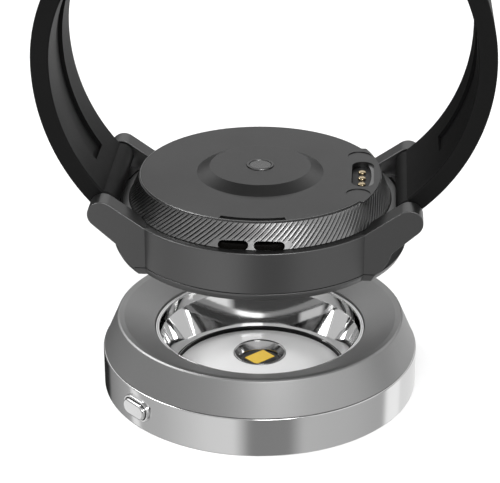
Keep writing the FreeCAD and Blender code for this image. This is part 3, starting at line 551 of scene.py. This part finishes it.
button_chrome = finish("button_chrome", moulded_surface, 0.82, 0.77, 3000, (0.08, 0.12), 0.02, Metallic=1.0)
cap_proud = 0.95
cap_deep = 2.0
guide_gap = 0.16
guide_depth = 1.72
lamp_button_guide = obround("lamp_button_guide", button_length + 2 * guide_rim - 0.04,
                            button_width + 2 * guide_rim - 0.04, guide_depth, rounding=0.14)
guide_bore = obround("guide_bore", button_length + 2 * guide_gap, button_width + 2 * guide_gap, 4)
combine(lamp_button_guide, [guide_bore], "DIFFERENCE")
set_on_wall(lamp_button_guide, BUTTON_BEARING, wall_radius + 0.4 - guide_depth / 2, button_level)
fit(lamp_button_guide, button_chrome, "button_chrome", "lamp", "lamp_button_guide")
lamp_button_cap = obround("lamp_button_cap", button_length, button_width, cap_deep, rounding=0.3)
set_on_wall(lamp_button_cap, BUTTON_BEARING, wall_radius + cap_proud - cap_deep / 2, button_level)
button_stem = rod("button_stem", 0.8, 1.4, (0, 0, 0), vertices=32)
set_on_wall(button_stem, BUTTON_BEARING, wall_radius + cap_proud - cap_deep - 0.5, button_level)
combine(lamp_button_cap, [button_stem], "UNION")
fit(lamp_button_cap, button_chrome, "button_chrome", "lamp_button", "lamp_button_cap")

# ------------------------------------------------------------------ lug frame
# The watch's middle frame: cast alloy, machined, blasted and coated dark grey.  A ring carries
# four arms with round tips for the spring bars, and a curved belly closes each end.
case_coating = finish("case_coating", moulded_surface, 0.175, 0.155, 7000, (0.34, 0.40), 0.10, Metallic=1.0)
frame_bore, frame_radius = 21.5, 22.72
frame_bottom = span("lug_frame")[0].z
frame_top = 33.85
arm_outer, arm_inner = 14.68, 10.95
arm_root = 17.34
bar_low, bar_high = span("right_spring_bar")
bar_x, bar_z = (bar_low.x + bar_high.x) / 2, (bar_low.z + bar_high.z) / 2
tip_radius = 2.2
belly_low, belly_mid, belly_bulge = (19.2, frame_bottom), (21.6, 30.66), (20.75, 28.55)
end_wall, flange_top = 23.3, 33.25


def arc_through(first, middle, last, count):
    """Points on the circle through three points, from the first to the last."""
    (ax, az), (bx, bz), (cx, cz) = first, middle, last
    scale = 2 * (ax * (bz - cz) + bx * (cz - az) + cx * (az - bz))
    a2, b2, c2 = ax * ax + az * az, bx * bx + bz * bz, cx * cx + cz * cz
    ox = (a2 * (bz - cz) + b2 * (cz - az) + c2 * (az - bz)) / scale
    oz = (a2 * (cx - bx) + b2 * (ax - cx) + c2 * (bx - ax)) / scale
    radius = math.hypot(ax - ox, az - oz)
    start, finish_angle = math.atan2(az - oz, ax - ox), math.atan2(cz - oz, cx - ox)
    via = math.atan2(bz - oz, bx - ox)
    turn = (finish_angle - start) % (2 * math.pi)
    if (via - start) % (2 * math.pi) > turn:
        turn -= 2 * math.pi
    return [(ox + radius * math.cos(start + turn * i / count),
             oz + radius * math.sin(start + turn * i / count)) for i in range(count + 1)]


def tangent_point(point, centre, radius, side):
    """Where a straight edge from a point touches a round tip."""
    gap = Vector(centre) - Vector(point)
    swing = math.asin(radius / gap.length) * side
    heading = math.atan2(gap.y, gap.x) + swing
    run = math.sqrt(gap.length ** 2 - radius ** 2)
    return point[0] + run * math.cos(heading), point[1] + run * math.sin(heading)


def slab(name, outline, y_low, y_high, rounding=0.0, angle=35):
    """A plate: an outline drawn in the upright plane, filled and extruded along Y."""
    bpy.ops.mesh.primitive_plane_add(size=0.01, location=(outline[0][0], y_low, outline[0][1]))
    piece = name_new(name, apply=False)
    bpy.ops.object.mode_set(mode="EDIT")
    bpy.ops.mesh.merge(type="CENTER")
    for (x0, z0), (x1, z1) in zip(outline, outline[1:] + outline[:1]):
        bpy.ops.mesh.extrude_region_move(TRANSFORM_OT_translate={"value": (x1 - x0, 0, z1 - z0)})
    bpy.ops.mesh.select_all(action="SELECT")
    bpy.ops.mesh.remove_doubles(threshold=0.001)
    bpy.ops.mesh.edge_face_add()
    bpy.ops.mesh.extrude_region_move(TRANSFORM_OT_translate={"value": (0, y_high - y_low, 0)})
    close_mesh()
    bpy.ops.object.transform_apply()
    if rounding:
        ease_edges(piece, rounding, angle)
    return piece


def copy_mirrored(piece, scale):
    """A mirror copy with its own mesh, its faces turned outwards again."""
    twin = piece.copy()
    twin.data = piece.data.copy()
    bpy.context.scene.collection.objects.link(twin)
    twin.scale = scale
    take(twin)
    bpy.ops.object.transform_apply()
    bpy.ops.object.mode_set(mode="EDIT")
    close_mesh()
    return twin


upper_touch = tangent_point((arm_root, frame_top), (bar_x, bar_z), tip_radius, 1)
lower_touch = tangent_point(belly_mid, (bar_x, bar_z), tip_radius, -1)
tip_far = on_arc((bar_x, bar_z), tip_radius, -5)
arm_outline = [(arm_root - 2, frame_bottom)]
arm_outline += arc_through(belly_low, belly_bulge, belly_mid, 10)
arm_outline += arc_through(lower_touch, tip_far, upper_touch, 20)
arm_outline += [(arm_root, frame_top), (arm_root - 2, frame_top)]
arm = slab("arm", arm_outline, -arm_outer, -arm_inner, rounding=0.14)
belly_outline = [(15.5, frame_bottom)]
belly_outline += arc_through(belly_low, (21.9, 29.3), (end_wall, 32.2), 12)
belly_outline += [(end_wall, flange_top), (15.5, flange_top)]
belly = slab("belly", belly_outline, -arm_inner - 0.5, arm_inner + 0.5, rounding=0.15)
nicks = [block("nick", (0.9, 4.2, 3), (21.6, across * 7.9, flange_top + 0.3), 14 * across)
         for across in (1, -1)]
combine(belly, nicks, "DIFFERENCE")
back_arm = copy_mirrored(arm, (1, -1, 1))
limbs = [arm, back_arm, belly]
limbs += [copy_mirrored(limb, (-1, 1, 1)) for limb in (arm, back_arm, belly)]
lug_frame = lathe("lug_frame", [
    (frame_bore - 3, frame_bottom), (frame_radius, frame_bottom), (frame_radius, frame_top),
    (frame_bore - 3, frame_top)], rounding=0.2)
combine(lug_frame, limbs, "UNION")
frame_core = disc("frame_core", frame_bore, 20, 40)
SIDE_BEARINGS = (60, 120)
side_level = (frame_top + frame_bottom) / 2
openings = [frame_core]
for bearing_deg in SIDE_BEARINGS:
    side_window = obround("side_window", 7.0, 2.8, 5)
    openings.append(set_on_wall(side_window, bearing_deg, frame_radius, side_level))
for side in (1, -1):
    openings.append(rod("bar_bore", 0.75, 2 * (arm_outer - 1.2), (side * bar_x, 0, bar_z)))
combine(lug_frame, openings, "DIFFERENCE")
fit(lug_frame, case_coating, "case_coating", "watch", "lug_frame")

# ------------------------------------------------------------------ front bezel and glass
# A tapered ring clips under the frame with a fine shadow line between them, and its corners
# follow the arms.  The mineral glass lies face down inside it.
bezel_bottom, bezel_top = span("front_bezel")[0].z, span("front_bezel")[1].z
bezel_inner = 19.0


def trim(piece, planes):
    """Saw off what lies beyond each plane, given by a place on it and the way it looks."""
    take(piece)
    bpy.ops.object.mode_set(mode="EDIT")
    for place, outwards in planes:
        bpy.ops.mesh.select_all(action="SELECT")
        bpy.ops.mesh.bisect(plane_co=place, plane_no=outwards, use_fill=True, clear_outer=True)
    bpy.ops.object.mode_set(mode="OBJECT")
    return piece


front_bezel = lathe("front_bezel", [
    (bezel_inner, bezel_bottom + 0.1), (bezel_inner + 0.5, bezel_bottom), (22.2, bezel_bottom),
    (frame_radius, frame_bottom - 0.35), (frame_radius, bezel_top), (bezel_inner, bezel_top)],
    rounding=0.1)
bezel_corners = lathe("bezel_corners", [
    (frame_radius - 0.6, bezel_top - 1.0), (23.6, bezel_top - 1.0), (24.1, bezel_top),
    (frame_radius - 0.6, bezel_top)], rounding=0.1)
trim(bezel_corners, [((0, side * arm_outer, 0), (0, side, 0)) for side in (1, -1)])
combine(front_bezel, [bezel_corners], "UNION")
fit(front_bezel, case_coating, "case_coating", "watch", "front_bezel")

clear_glass = finish("clear_glass", moulded_surface, 0.96, 0.94, 400,
                     (0.0, 0.02), 0.0, Transmission_Weight=1.0, IOR=1.5)
display_black = finish("display_black", moulded_surface, 0.006, 0.004, 2000,
                       (0.10, 0.16), 0.0, Coat_Weight=1.0, Coat_Roughness=0.03)
glass_low, glass_high = span("cover_glass")
cover_glass = disc("cover_glass", glass_high.x, glass_low.z, glass_high.z, 0.25)
fit(cover_glass, clear_glass, "clear_glass", "watch", "cover_glass")
panel_low, panel_high = span("display_panel")
display_panel = disc("display_panel", panel_high.x, panel_low.z, panel_high.z, 0.05)
fit(display_panel, display_black, "display_black", "watch", "display_panel")

# ------------------------------------------------------------------ inner case with the knurl
# The inner case is one casting whose cone is cut all round with slanting grooves, two to a
# ridge, one deep and one fine.  Below them a plain land frames the loudspeaker's two slots.
knurl_coating = finish("knurl_coating", moulded_surface, 0.30, 0.26, 6000, (0.34, 0.40), 0.04, Metallic=1.0)
knurl_foot, knurl_foot_z = 21.42, 33.94
case_bottom, knurl_top_z = span("inner_case")[0].z, span("inner_case")[1].z
knurl_top = 19.63
cover_rim = 0.2
disc_thick = 0.9
RIDGES = 146
GROOVE_STEPS = (0.34, 0.0, 0.0, 0.03, 0.0, 0.0)
KNURL_ROWS = 10
slant_turn = math.radians(11.5)
land_half, land_top = 6.2, 35.4
plain_top = 0.3


def knurl_height(row):
    """The height of a row of corners on the cone."""
    return knurl_foot_z + (knurl_top_z - plain_top - knurl_foot_z) * row / KNURL_ROWS


def cone_radius(height):
    """The cone's radius at a height."""
    climbed = (height - knurl_foot_z) / (knurl_top_z - knurl_foot_z)
    return knurl_foot + (knurl_top - knurl_foot) * climbed


ring_points = RIDGES * len(GROOVE_STEPS)
skirt = knurl_foot - 0.35
bpy.ops.mesh.primitive_circle_add(vertices=ring_points, radius=skirt, location=(0, 0, case_bottom))
inner_case = name_new("inner_case")
bpy.ops.object.mode_set(mode="EDIT")
bpy.ops.mesh.select_all(action="SELECT")
levels = [(skirt, knurl_foot_z - 0.7), (knurl_foot, knurl_foot_z)]
levels += [(cone_radius(knurl_height(row)), knurl_height(row)) for row in range(1, KNURL_ROWS + 1)]
levels += [(cone_radius(knurl_top_z - 0.06), knurl_top_z - 0.06), (knurl_top - 0.05, knurl_top_z),
           (knurl_top - cover_rim + 0.03, knurl_top_z),
           (knurl_top - cover_rim + 0.03, knurl_top_z - 0.32), (knurl_top - 1.5, knurl_top_z - 0.32),
           (knurl_top - 1.5, knurl_top_z - 1.5), (16.9, 36.46), (16.9, 36.0), (18.3, 35.6),
           (skirt - 1.1, knurl_foot_z - 0.7), (skirt - 1.1, case_bottom)]
radius_now, height_now = skirt, case_bottom
for radius_next, height_next in levels:
    bpy.ops.mesh.extrude_region_move(TRANSFORM_OT_translate={"value": (0, 0, height_next - height_now)})
    swell = radius_next / radius_now
    bpy.ops.transform.resize(value=(swell, swell, 1), center_override=(0, 0, height_next))
    radius_now, height_now = radius_next, height_next
bpy.ops.object.mode_set(mode="OBJECT")
foot_ring = 2
for row in range(KNURL_ROWS + 1):
    turn = slant_turn * row / KNURL_ROWS
    for point in range(ring_points):
        corner = inner_case.data.vertices[(foot_ring + row) * ring_points + point]
        corner.co = Matrix.Rotation(turn, 3, "Z") @ corner.co
        on_land = abs(corner.co.x) < land_half and corner.co.y < 0 and corner.co.z < land_top
        if not on_land and 0 < row < KNURL_ROWS:
            swell = 1 - GROOVE_STEPS[point % len(GROOVE_STEPS)] / cone_radius(corner.co.z)
            corner.co = Vector((corner.co.x * swell, corner.co.y * swell, corner.co.z))
take(inner_case)
bpy.ops.object.mode_set(mode="EDIT")
bpy.ops.mesh.select_all(action="DESELECT")
bpy.ops.mesh.select_non_manifold()
bpy.ops.mesh.bridge_edge_loops()
close_mesh()


def sound_slit(name, inner, outer, low, high):
    """A cutter for the curved slit inside the front rim."""
    half = math.radians(15.5)
    bpy.ops.mesh.primitive_plane_add(size=1, rotation=(math.pi / 2, 0, 0))
    cutter = name_new(name, apply=False)
    cutter.scale = (outer - inner, high - low, 1)
    cutter.location = ((inner + outer) / 2, 0, (low + high) / 2)
    bpy.ops.object.transform_apply()
    bpy.ops.object.mode_set(mode="EDIT")
    bpy.ops.mesh.select_all(action="SELECT")
    bpy.ops.mesh.spin(steps=40, angle=2 * half, center=(0, 0, 0), axis=(0, 0, 1))
    close_mesh()
    return set_down(cutter, (0, 0, 0), (0, 0, -math.pi / 2 + half))


lobe_centre, lobe_radius, lobe_half, lobe_root = -5, 24.66, 10.9, 14.3


def lobe_tab(name, grow, low, high):
    """The charging lobe: an arc wider than the disc, cut off square at its two ends."""
    bpy.ops.mesh.primitive_cylinder_add(vertices=256, radius=lobe_radius + grow, depth=high - low,
                                        location=(lobe_centre, 0, (low + high) / 2))
    return trim(name_new(name), [((0, lobe_half + grow, 0), (0, 1, 0)),
                                 ((0, -lobe_half - grow, 0), (0, -1, 0)),
                                 ((lobe_root, 0, 0), (-1, 0, 0))])


slot_tilt = (math.radians(-24), 0, 0)
openings = [set_down(obround("speaker_slot", 4.75, 1.45, 6), (x, -21, 34.49), slot_tilt)
            for x in (-2.85, 2.75)]
openings.append(sound_slit("slit_floor", 18.45, 19.3, knurl_top_z - 1.0, knurl_top_z + 1))
openings.append(lobe_tab("lobe_seat", 0.03, knurl_top_z - 0.33, knurl_top_z + 1))
combine(inner_case, openings, "DIFFERENCE")
fit(inner_case, knurl_coating, "knurl_coating", "watch", "inner_case", smooth=25)

# ------------------------------------------------------------------ rear cover
# Glass-filled resin, moulded, with a raised plinth over the sensor.  A lobe on the right holds
# the charging pocket, two shallow dimples locate the charger and a curved slit lets sound out.
cover_resin = finish("cover_resin", moulded_surface, 0.125, 0.110, 8000, (0.36, 0.42), 0.12, Metallic=1.0)
disc_top = 37.96
plinth_foot, plinth_top, plinth_z = 10.34, 8.23, span("rear_cover")[1].z
disc_edge = knurl_top - cover_rim
rear_cover = lathe("rear_cover", [
    (0, disc_top - disc_thick), (18.08, disc_top - disc_thick), (18.08, disc_top - 0.3),
    (disc_edge, disc_top - 0.3), (disc_edge, disc_top), (plinth_foot, disc_top),
    (plinth_top, plinth_z), (0, plinth_z)], rounding=0.05)
lobe = lobe_tab("lobe", 0, disc_top - 0.3, disc_top)
ease_edges(lobe, 0.05, 30)
combine(rear_cover, [lobe], "UNION")
contact_x = 16.58
pocket_x = contact_x + 0.13
pocket_length, pocket_width = 10.2, 3.6


def upright_obround(name, length, width, low, high, x, y=0, rounding=0.0):
    """An obround prism standing on Z whose long way runs along Y."""
    prism = obround(name, length, width, high - low, rounding)
    return set_down(prism, (x, y, (low + high) / 2), (math.pi / 2, 0, math.pi / 2))


pocket = upright_obround("pocket", pocket_length, pocket_width, 35, 40, pocket_x)
dimples = [rod("dimple", 1.95, 2, (16.1, y, disc_top - 0.14 + 1), turn=(0, 0, 0), vertices=64)
           for y in (-7.9, 7.5)]
slit = sound_slit("slit", 18.45, knurl_top + 0.2, disc_top - 0.6, disc_top + 1)
combine(rear_cover, [pocket, slit] + dimples, "DIFFERENCE")
fit(rear_cover, cover_resin, "cover_resin", "watch", "rear_cover")

# ------------------------------------------------------------------ straps
# Two halves of moulded rubber with eased edges, each thickened to a knuckle round its spring
# bar and hollowed by one long shallow recess along its inner face.
strap_rubber = finish("strap_rubber", moulded_surface, 0.005, 0.003, 9000,
                      (0.44, 0.54), 0.25, Specular_IOR_Level=0.16)
strap_width, strap_thick = 20.6, 2.9
knuckle_radius = 2.1
recess_width, recess_depth = 6.4, 0.6


def sweep(name, centre, radius, thick, width, start, arcs, rounding=0.3):
    """A rounded rectangle carried round arcs in the upright plane.  An arc is a centre, a turn
    in degrees and a count of steps."""
    x, z = on_arc(centre, radius - thick / 2, start)
    bpy.ops.mesh.primitive_plane_add(size=1, location=(x, 0, z), rotation=(0, -math.radians(start), 0))
    piece = name_new(name, apply=False)
    piece.scale = (thick, width, 1)
    bpy.ops.object.transform_apply()
    bpy.ops.object.mode_set(mode="EDIT")
    if rounding:
        bpy.ops.mesh.bevel(offset=rounding, segments=4, affect="VERTICES")
    bpy.ops.mesh.select_all(action="SELECT")
    for (cx, cz), turn, steps in arcs:
        bpy.ops.mesh.spin(steps=steps, angle=math.radians(turn), center=(cx, 0, cz), axis=(0, 1, 0))
    close_mesh()
    return piece


def strap_half(name, widest, height, low_radius, low_stop, radii, stops, recess_stop):
    """One half on the +X side: a low arc from the lug to the widest point, then arcs above it.
    It gives the half and the last arc's centre."""
    low_centre = (widest - low_radius, height)
    arcs = [(low_centre, -low_stop, 24)]
    side_centre = centre = (widest - radii[0], height)
    last_radius, reached = radii[0], 0
    for radius, stop in zip(radii, stops):
        centre = on_arc(centre, last_radius - radius, reached)
        arcs.append((centre, stop - reached, 30))
        last_radius, reached = radius, stop
    half = sweep(name, low_centre, low_radius, strap_thick, strap_width, low_stop, arcs)
    knuckle = rod("knuckle", knuckle_radius, strap_width, (bar_x, 0, bar_z), vertices=64)
    ease_edges(knuckle, 0.3)
    bore = rod("bore", 0.8, strap_width + 2, (bar_x, 0, bar_z))
    inner = low_radius - strap_thick + recess_depth
    recess = sweep("recess", low_centre, inner, 1.2, recess_width, -35,
                   [(low_centre, 35, 20), (side_centre, recess_stop, 16)], rounding=0)
    combine(half, [knuckle], "UNION")
    combine(half, [bore, recess], "DIFFERENCE")
    return half, centre


open_radius, tail_end = 75.0, 88
tail_strap, open_centre = strap_half(
    "tail_strap", 36.75, 60.0, 31.5, -49.5, (30.0, open_radius), (45, tail_end), 40)
hole_length, hole_width = 3.3, 2.3
first_hole, hole_pitch, hole_count = 12, 4.9, 7  # the first two in degrees round the arc
half_width = strap_width / 2
holes = []
for number in range(hole_count):
    around = tail_end - first_hole - hole_pitch * number
    x, z = on_arc(open_centre, open_radius, around)
    holes.append(set_down(obround("hole", hole_length, hole_width, 12), (x, 0, z),
                          (math.pi / 2, math.pi / 2 - math.radians(around), 0)))
tip_x, tip_z = on_arc(open_centre, open_radius, tail_end)
tip_cutter = block("tip_cutter", (half_width + 2, strap_width + 2, 20),
                   (tip_x - 2 + (half_width + 2) / 2, 0, tip_z - 2))
combine(tip_cutter, [rod("tip_round", half_width, 30, (tip_x + half_width, 0, tip_z - 2),
                         turn=(0, 0, 0), vertices=96)], "DIFFERENCE")
combine(tail_strap, holes + [tip_cutter], "DIFFERENCE")
fit(tail_strap, strap_rubber, "strap_rubber", "long_strap", "tail_strap")
loop_radius, PIN_TURN = 27.5, 84
short_right, loop_centre = strap_half(
    "buckle_strap", 35.05, 59.0, 35.0, -42, (loop_radius,), (PIN_TURN - 1,), 30)
pin_x, pin_z = on_arc(loop_centre, loop_radius - strap_thick / 2, PIN_TURN)
end_knuckle = rod("end_knuckle", 1.85, strap_width, (pin_x, 0, pin_z))
ease_edges(end_knuckle, 0.25)
combine(short_right, [end_knuckle], "UNION")
tongue_slot = block("tongue_slot", (7, 3.4, 8), (pin_x + 0.5, 0, pin_z + 1))
combine(short_right, [rod("pin_bore", 0.85, strap_width + 2, (pin_x, 0, pin_z)), tongue_slot],
        "DIFFERENCE")
buckle_strap = copy_mirrored(short_right, (-1, 1, 1))
bpy.data.objects.remove(short_right)
buckle_strap.name = "buckle_strap"
fit(buckle_strap, strap_rubber, "strap_rubber", "short_strap", "buckle_strap")

# ------------------------------------------------------------------ keepers
# Two loops of the strap's own rubber: one moulded on near the buckle, one free to slide.


def keeper(name, middle, clear, body):
    """A loop round the short half, drawn on the +X side and mirrored."""
    spread = math.degrees(5.0 / loop_radius) / 2
    room, skin_thick = 3.1, 1.3
    depth = room + strap_thick + clear
    shell = sweep(name, loop_centre, loop_radius + room + skin_thick, depth + 2 * skin_thick,
                  strap_width + 2 * (clear + skin_thick), middle - spread,
                  [(loop_centre, 2 * spread, 8)], rounding=1.0)
    gap = sweep("gap", loop_centre, loop_radius + room, depth, strap_width + 2 * clear,
                middle - spread - 1, [(loop_centre, 2 * spread + 2, 8)], rounding=0)
    combine(shell, [gap], "DIFFERENCE")
    ease_edges(shell, 0.25, 40)
    loop = copy_mirrored(shell, (-1, 1, 1))
    bpy.data.objects.remove(shell)
    loop.name = name
    return fit(loop, strap_rubber, "strap_rubber", body, name)


keeper("fixed_keeper", 66, 0, "short_strap")
keeper("sliding_keeper", 44, 0.25, "loose_keeper")

# ------------------------------------------------------------------ buckle
# A stamped and coated steel frame, open at the strap's end, with a forged tongue; both turn on
# one pin through the end of the short half.
buckle_coating = finish("buckle_coating", moulded_surface, 0.12, 0.10, 6000,
                        (0.28, 0.36), 0.06, Metallic=1.0)
buckle_turn = (0, math.radians(PIN_TURN - 90), 0)
buckle_spot = (-pin_x, 0, pin_z)
reach, heel, half_wide, bar_radius = 11.2, 1.6, 13.0, 0.8
buckle_pin = rod("buckle_pin", bar_radius, 2 * half_wide - 0.8, (0, 0, 0))
set_down(ease_edges(buckle_pin, 0.12), buckle_spot, buckle_turn)
fit(buckle_pin, buckle_coating, "buckle_coating", "short_strap", "buckle_pin")
buckle_frame = block("buckle_frame", (reach + heel, 2 * half_wide, 2.2), ((reach - heel) / 2, 0, 0))
frame_window = block("frame_window", (12.4, strap_width + 1, 6), (2.6, 0, 0))
combine(buckle_frame, [frame_window], "DIFFERENCE")
ease_edges(buckle_frame, 0.5, 40, segments=5)
frame_bore = rod("frame_bore", bar_radius + 0.04, 2 * half_wide - 0.7, (0, 0, 0))
combine(buckle_frame, [frame_bore], "DIFFERENCE")
set_down(buckle_frame, buckle_spot, buckle_turn)
fit(buckle_frame, buckle_coating, "buckle_coating", "buckle", "buckle_frame")
buckle_tongue = slab("buckle_tongue", [
    (0, 0.9), (reach - 2.6, 1.18), (reach - 0.4, 1.18), (reach + 0.1, 1.5), (reach - 0.2, 2.1),
    (reach - 2.6, 2.25), (0, 1.8)], -1.2, 1.2)
combine(buckle_tongue, [rod("eye", 1.8, 2.4, (0, 0, 0), vertices=64)], "UNION")
ease_edges(buckle_tongue, 0.16, 40)
combine(buckle_tongue, [rod("eye_bore", bar_radius + 0.05, 6, (0, 0, 0))], "DIFFERENCE")
set_down(buckle_tongue, buckle_spot, buckle_turn)
fit(buckle_tongue, buckle_coating, "buckle_coating", "tongue", "buckle_tongue")

# ------------------------------------------------------------------ spring bars
# Steel bars with stepped ends, one through each knuckle into the arms.
pin_steel = finish("pin_steel", moulded_surface, 0.55, 0.48, 9000, (0.22, 0.30), 0.08, Metallic=1.0)
half_bar = arm_outer - 1.3
stepped_end = [(0, half_bar), (0.45, half_bar), (0.45, half_bar - 1.0), (0.7, half_bar - 1.3)]
bar_outline = [(radius, -along) for radius, along in stepped_end] + stepped_end[::-1]
for side, node in ((-1, "left_spring_bar"), (1, "right_spring_bar")):
    bar = lathe(node, bar_outline, rounding=0.05, steps=48)
    set_down(bar, (side * bar_x, 0, bar_z), (math.pi / 2, 0, 0))
    fit(bar, pin_steel, "pin_steel", "watch", node)

# ------------------------------------------------------------------ side buttons
# Two coated push buttons on the far flank, each one piece with its stem; a shallow milled
# channel runs along the cap for the fingertip.
side_proud, side_deep = 1.3, 2.2
for bearing_deg, body, node in zip(SIDE_BEARINGS, ("upper_push", "lower_push"),
                                   ("upper_button", "lower_button")):
    cap = obround(node, 6.9, 2.7, side_deep, rounding=0.4)
    channel = obround("channel", 4.6, 0.9, 0.4)
    combine(cap, [set_down(channel, (0, -side_deep / 2, 0))], "DIFFERENCE")
    combine(cap, [rod("stem", 0.7, 4.2, (0, side_deep / 2 + 2.0, 0))], "UNION")
    set_on_wall(cap, bearing_deg, frame_radius + side_proud - side_deep / 2, side_level)
    fit(cap, case_coating, "case_coating", body, node)

# ------------------------------------------------------------------ sensor and charging contacts
# A thin bright ring frames a dark window on the plinth.  Three gold pins stand in a black
# carrier at the bottom of the charging pocket.
sensor_trim = finish("sensor_trim", turned_surface, 0.15, 0.12, 8000, (0.28, 0.34), 0.02, Metallic=1.0)
sensor_ring = lathe("sensor_ring", [(radius, plinth_z + up) for radius, up in (
    (1.75, 0.01), (2.3, 0.01), (2.2, 0.18), (1.85, 0.18))], rounding=0.04, steps=96)
fit(sensor_ring, sensor_trim, "sensor_trim", "watch", "sensor_ring")
sensor_glass = finish("sensor_glass", moulded_surface, 0.060, 0.050, 3000,
                      (0.22, 0.30), 0.0, Coat_Weight=0.2, Coat_Roughness=0.15)
sensor_window = lathe("sensor_window", [(radius, plinth_z + up) for radius, up in (
    (0, 0.01), (1.72, 0.01), (1.72, 0.07), (0.9, 0.095), (0, 0.1))], steps=96)
fit(sensor_window, sensor_glass, "display_black", "watch", "sensor_window")

contact_black = finish("contact_black", moulded_surface, 0.014, 0.010, 7000, (0.42, 0.52), 0.15)
contact_gold = finish("contact_gold", turned_surface, (0.62, 0.50, 0.32), (0.52, 0.42, 0.26), 9000,
                      (0.16, 0.24), 0.05, Metallic=1.0)
CONTACT_ROW = (-2.43, 0, 2.43)
carrier_low, carrier_high = span("contact_carrier")
carrier = upright_obround("contact_carrier", pocket_length - 0.1, pocket_width - 0.1,
                          carrier_low.z, carrier_high.z, pocket_x, rounding=0.1)
combine(carrier, [rod("pin_hole", 0.66, 4, (contact_x, y, 36.5), turn=(0, 0, 0))
                  for y in CONTACT_ROW], "DIFFERENCE")
fit(carrier, contact_black, "contact_black", "watch", "contact_carrier")
pins_low, pins_high = span("charging_contacts")
contact_pins = []
for y in CONTACT_ROW:
    pin = lathe("charging_contacts", [
        (0, pins_low.z), (0.65, pins_low.z), (0.65, pins_high.z - 0.12), (0.5, pins_high.z),
        (0, pins_high.z)], rounding=0.06, steps=48)
    contact_pins.append(set_down(pin, (contact_x, y, 0)))
combine(contact_pins[0], contact_pins[1:], "UNION")
fit(contact_pins[0], contact_gold, "contact_gold", "watch", "charging_contacts")

# ------------------------------------------------------------------ works inside the lamp
# A moulded tray holds two cells and the ring-shaped board; four plated magnets hold the watch.
# The base plate is turned alloy, fixed with three screws.  The light source sits on a spreader.
# A board is green film over copper tracks, seen as a fine square lattice.


def dress(material, *nodes):
    """Give carried-over nodes their finish."""
    for node in nodes:
        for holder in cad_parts[node].material_slots:
            holder.material = material


def lay_pattern(material, kind, scale, **colours):
    """Colour a material by a repeating pattern, laid out on the piece itself."""
    nodes, links = material.node_tree.nodes, material.node_tree.links
    pattern = nodes.new(kind)
    pattern.inputs["Scale"].default_value = scale
    for label, colour in colours.items():
        pattern.inputs[label].default_value = (*colour, 1)
    links.new(nodes.new("ShaderNodeTexCoord").outputs["Object"], pattern.inputs["Vector"])
    links.new(pattern.outputs["Color"], nodes["Principled BSDF"].inputs["Base Color"])
    return pattern


inner_plastic = finish("inner_plastic", moulded_surface, 0.030, 0.022, 6000, (0.45, 0.58), 0.20)
base_alloy = finish("base_alloy", turned_surface, 0.42, 0.36, 8000, (0.34, 0.44), 0.12, Metallic=1.0)
cell_wrap = finish("cell_wrap", moulded_surface, (0.03, 0.10, 0.26), (0.022, 0.08, 0.21), 1500,
                   (0.22, 0.34), 0.10, Coat_Weight=0.3)
magnet_nickel = finish("magnet_nickel", moulded_surface, 0.66, 0.60, 8000, (0.14, 0.22), 0.05, Metallic=1.0)
spreader_alloy = finish("spreader_alloy", turned_surface, 0.60, 0.52, 6000,
                        (0.30, 0.40), 0.10, Metallic=1.0)
board_green = finish("board_green", moulded_surface, (0.012, 0.085, 0.035), (0.009, 0.06, 0.025), 5000,
                     (0.28, 0.36), 0.10, Specular_IOR_Level=0.6)
tracks = lay_pattern(board_green, "ShaderNodeTexBrick", 380, Color1=(0.010, 0.075, 0.030),
                     Color2=(0.014, 0.095, 0.040), Mortar=(0.03, 0.16, 0.07))
tracks.inputs["Mortar Size"].default_value = 0.06
dress(base_alloy, "lamp_base_plate")
dress(pin_steel, "lamp_base_screws", "board_screws")
dress(inner_plastic, "lamp_tray", "lamp_button_switch", "upper_switch", "lower_switch",
      "display_carrier", "loudspeaker")
dress(cell_wrap, "lamp_cells", "battery")
dress(board_green, "lamp_ring_board", "lamp_led_board", "main_board", "sensor_board")
dress(magnet_nickel, "lamp_magnets", "charging_magnets")
dress(spreader_alloy, "lamp_heat_spreader")

# ------------------------------------------------------------------ works inside the watch
# Board, cell, motor, loudspeaker and aerial stand between the display and the rear cover.
shield_tin = finish("shield_tin", moulded_surface, 0.58, 0.50, 3000, (0.25, 0.40), 0.12, Metallic=1.0)
antenna_film = finish("antenna_film", moulded_surface, (0.004, 0.004, 0.004), (0.006, 0.005, 0.004), 3500,
                      (0.25, 0.35), 0.08)
seal_rubber = finish("seal_rubber", moulded_surface, 0.020, 0.014, 8000, (0.55, 0.68), 0.20)
dress(shield_tin, "board_shield", "vibration_motor", "microphone")
dress(antenna_film, "gps_antenna")
dress(seal_rubber, "glass_gasket", "rear_gasket")
woven_wire = finish("woven_wire", moulded_surface, 0.10, 0.05, 9000, (0.35, 0.50), 0.20, Metallic=1.0)
lay_pattern(woven_wire, "ShaderNodeTexChecker", 9000, Color1=(0.10, 0.10, 0.10),
            Color2=(0.012, 0.012, 0.012))
dress(woven_wire, "speaker_mesh")
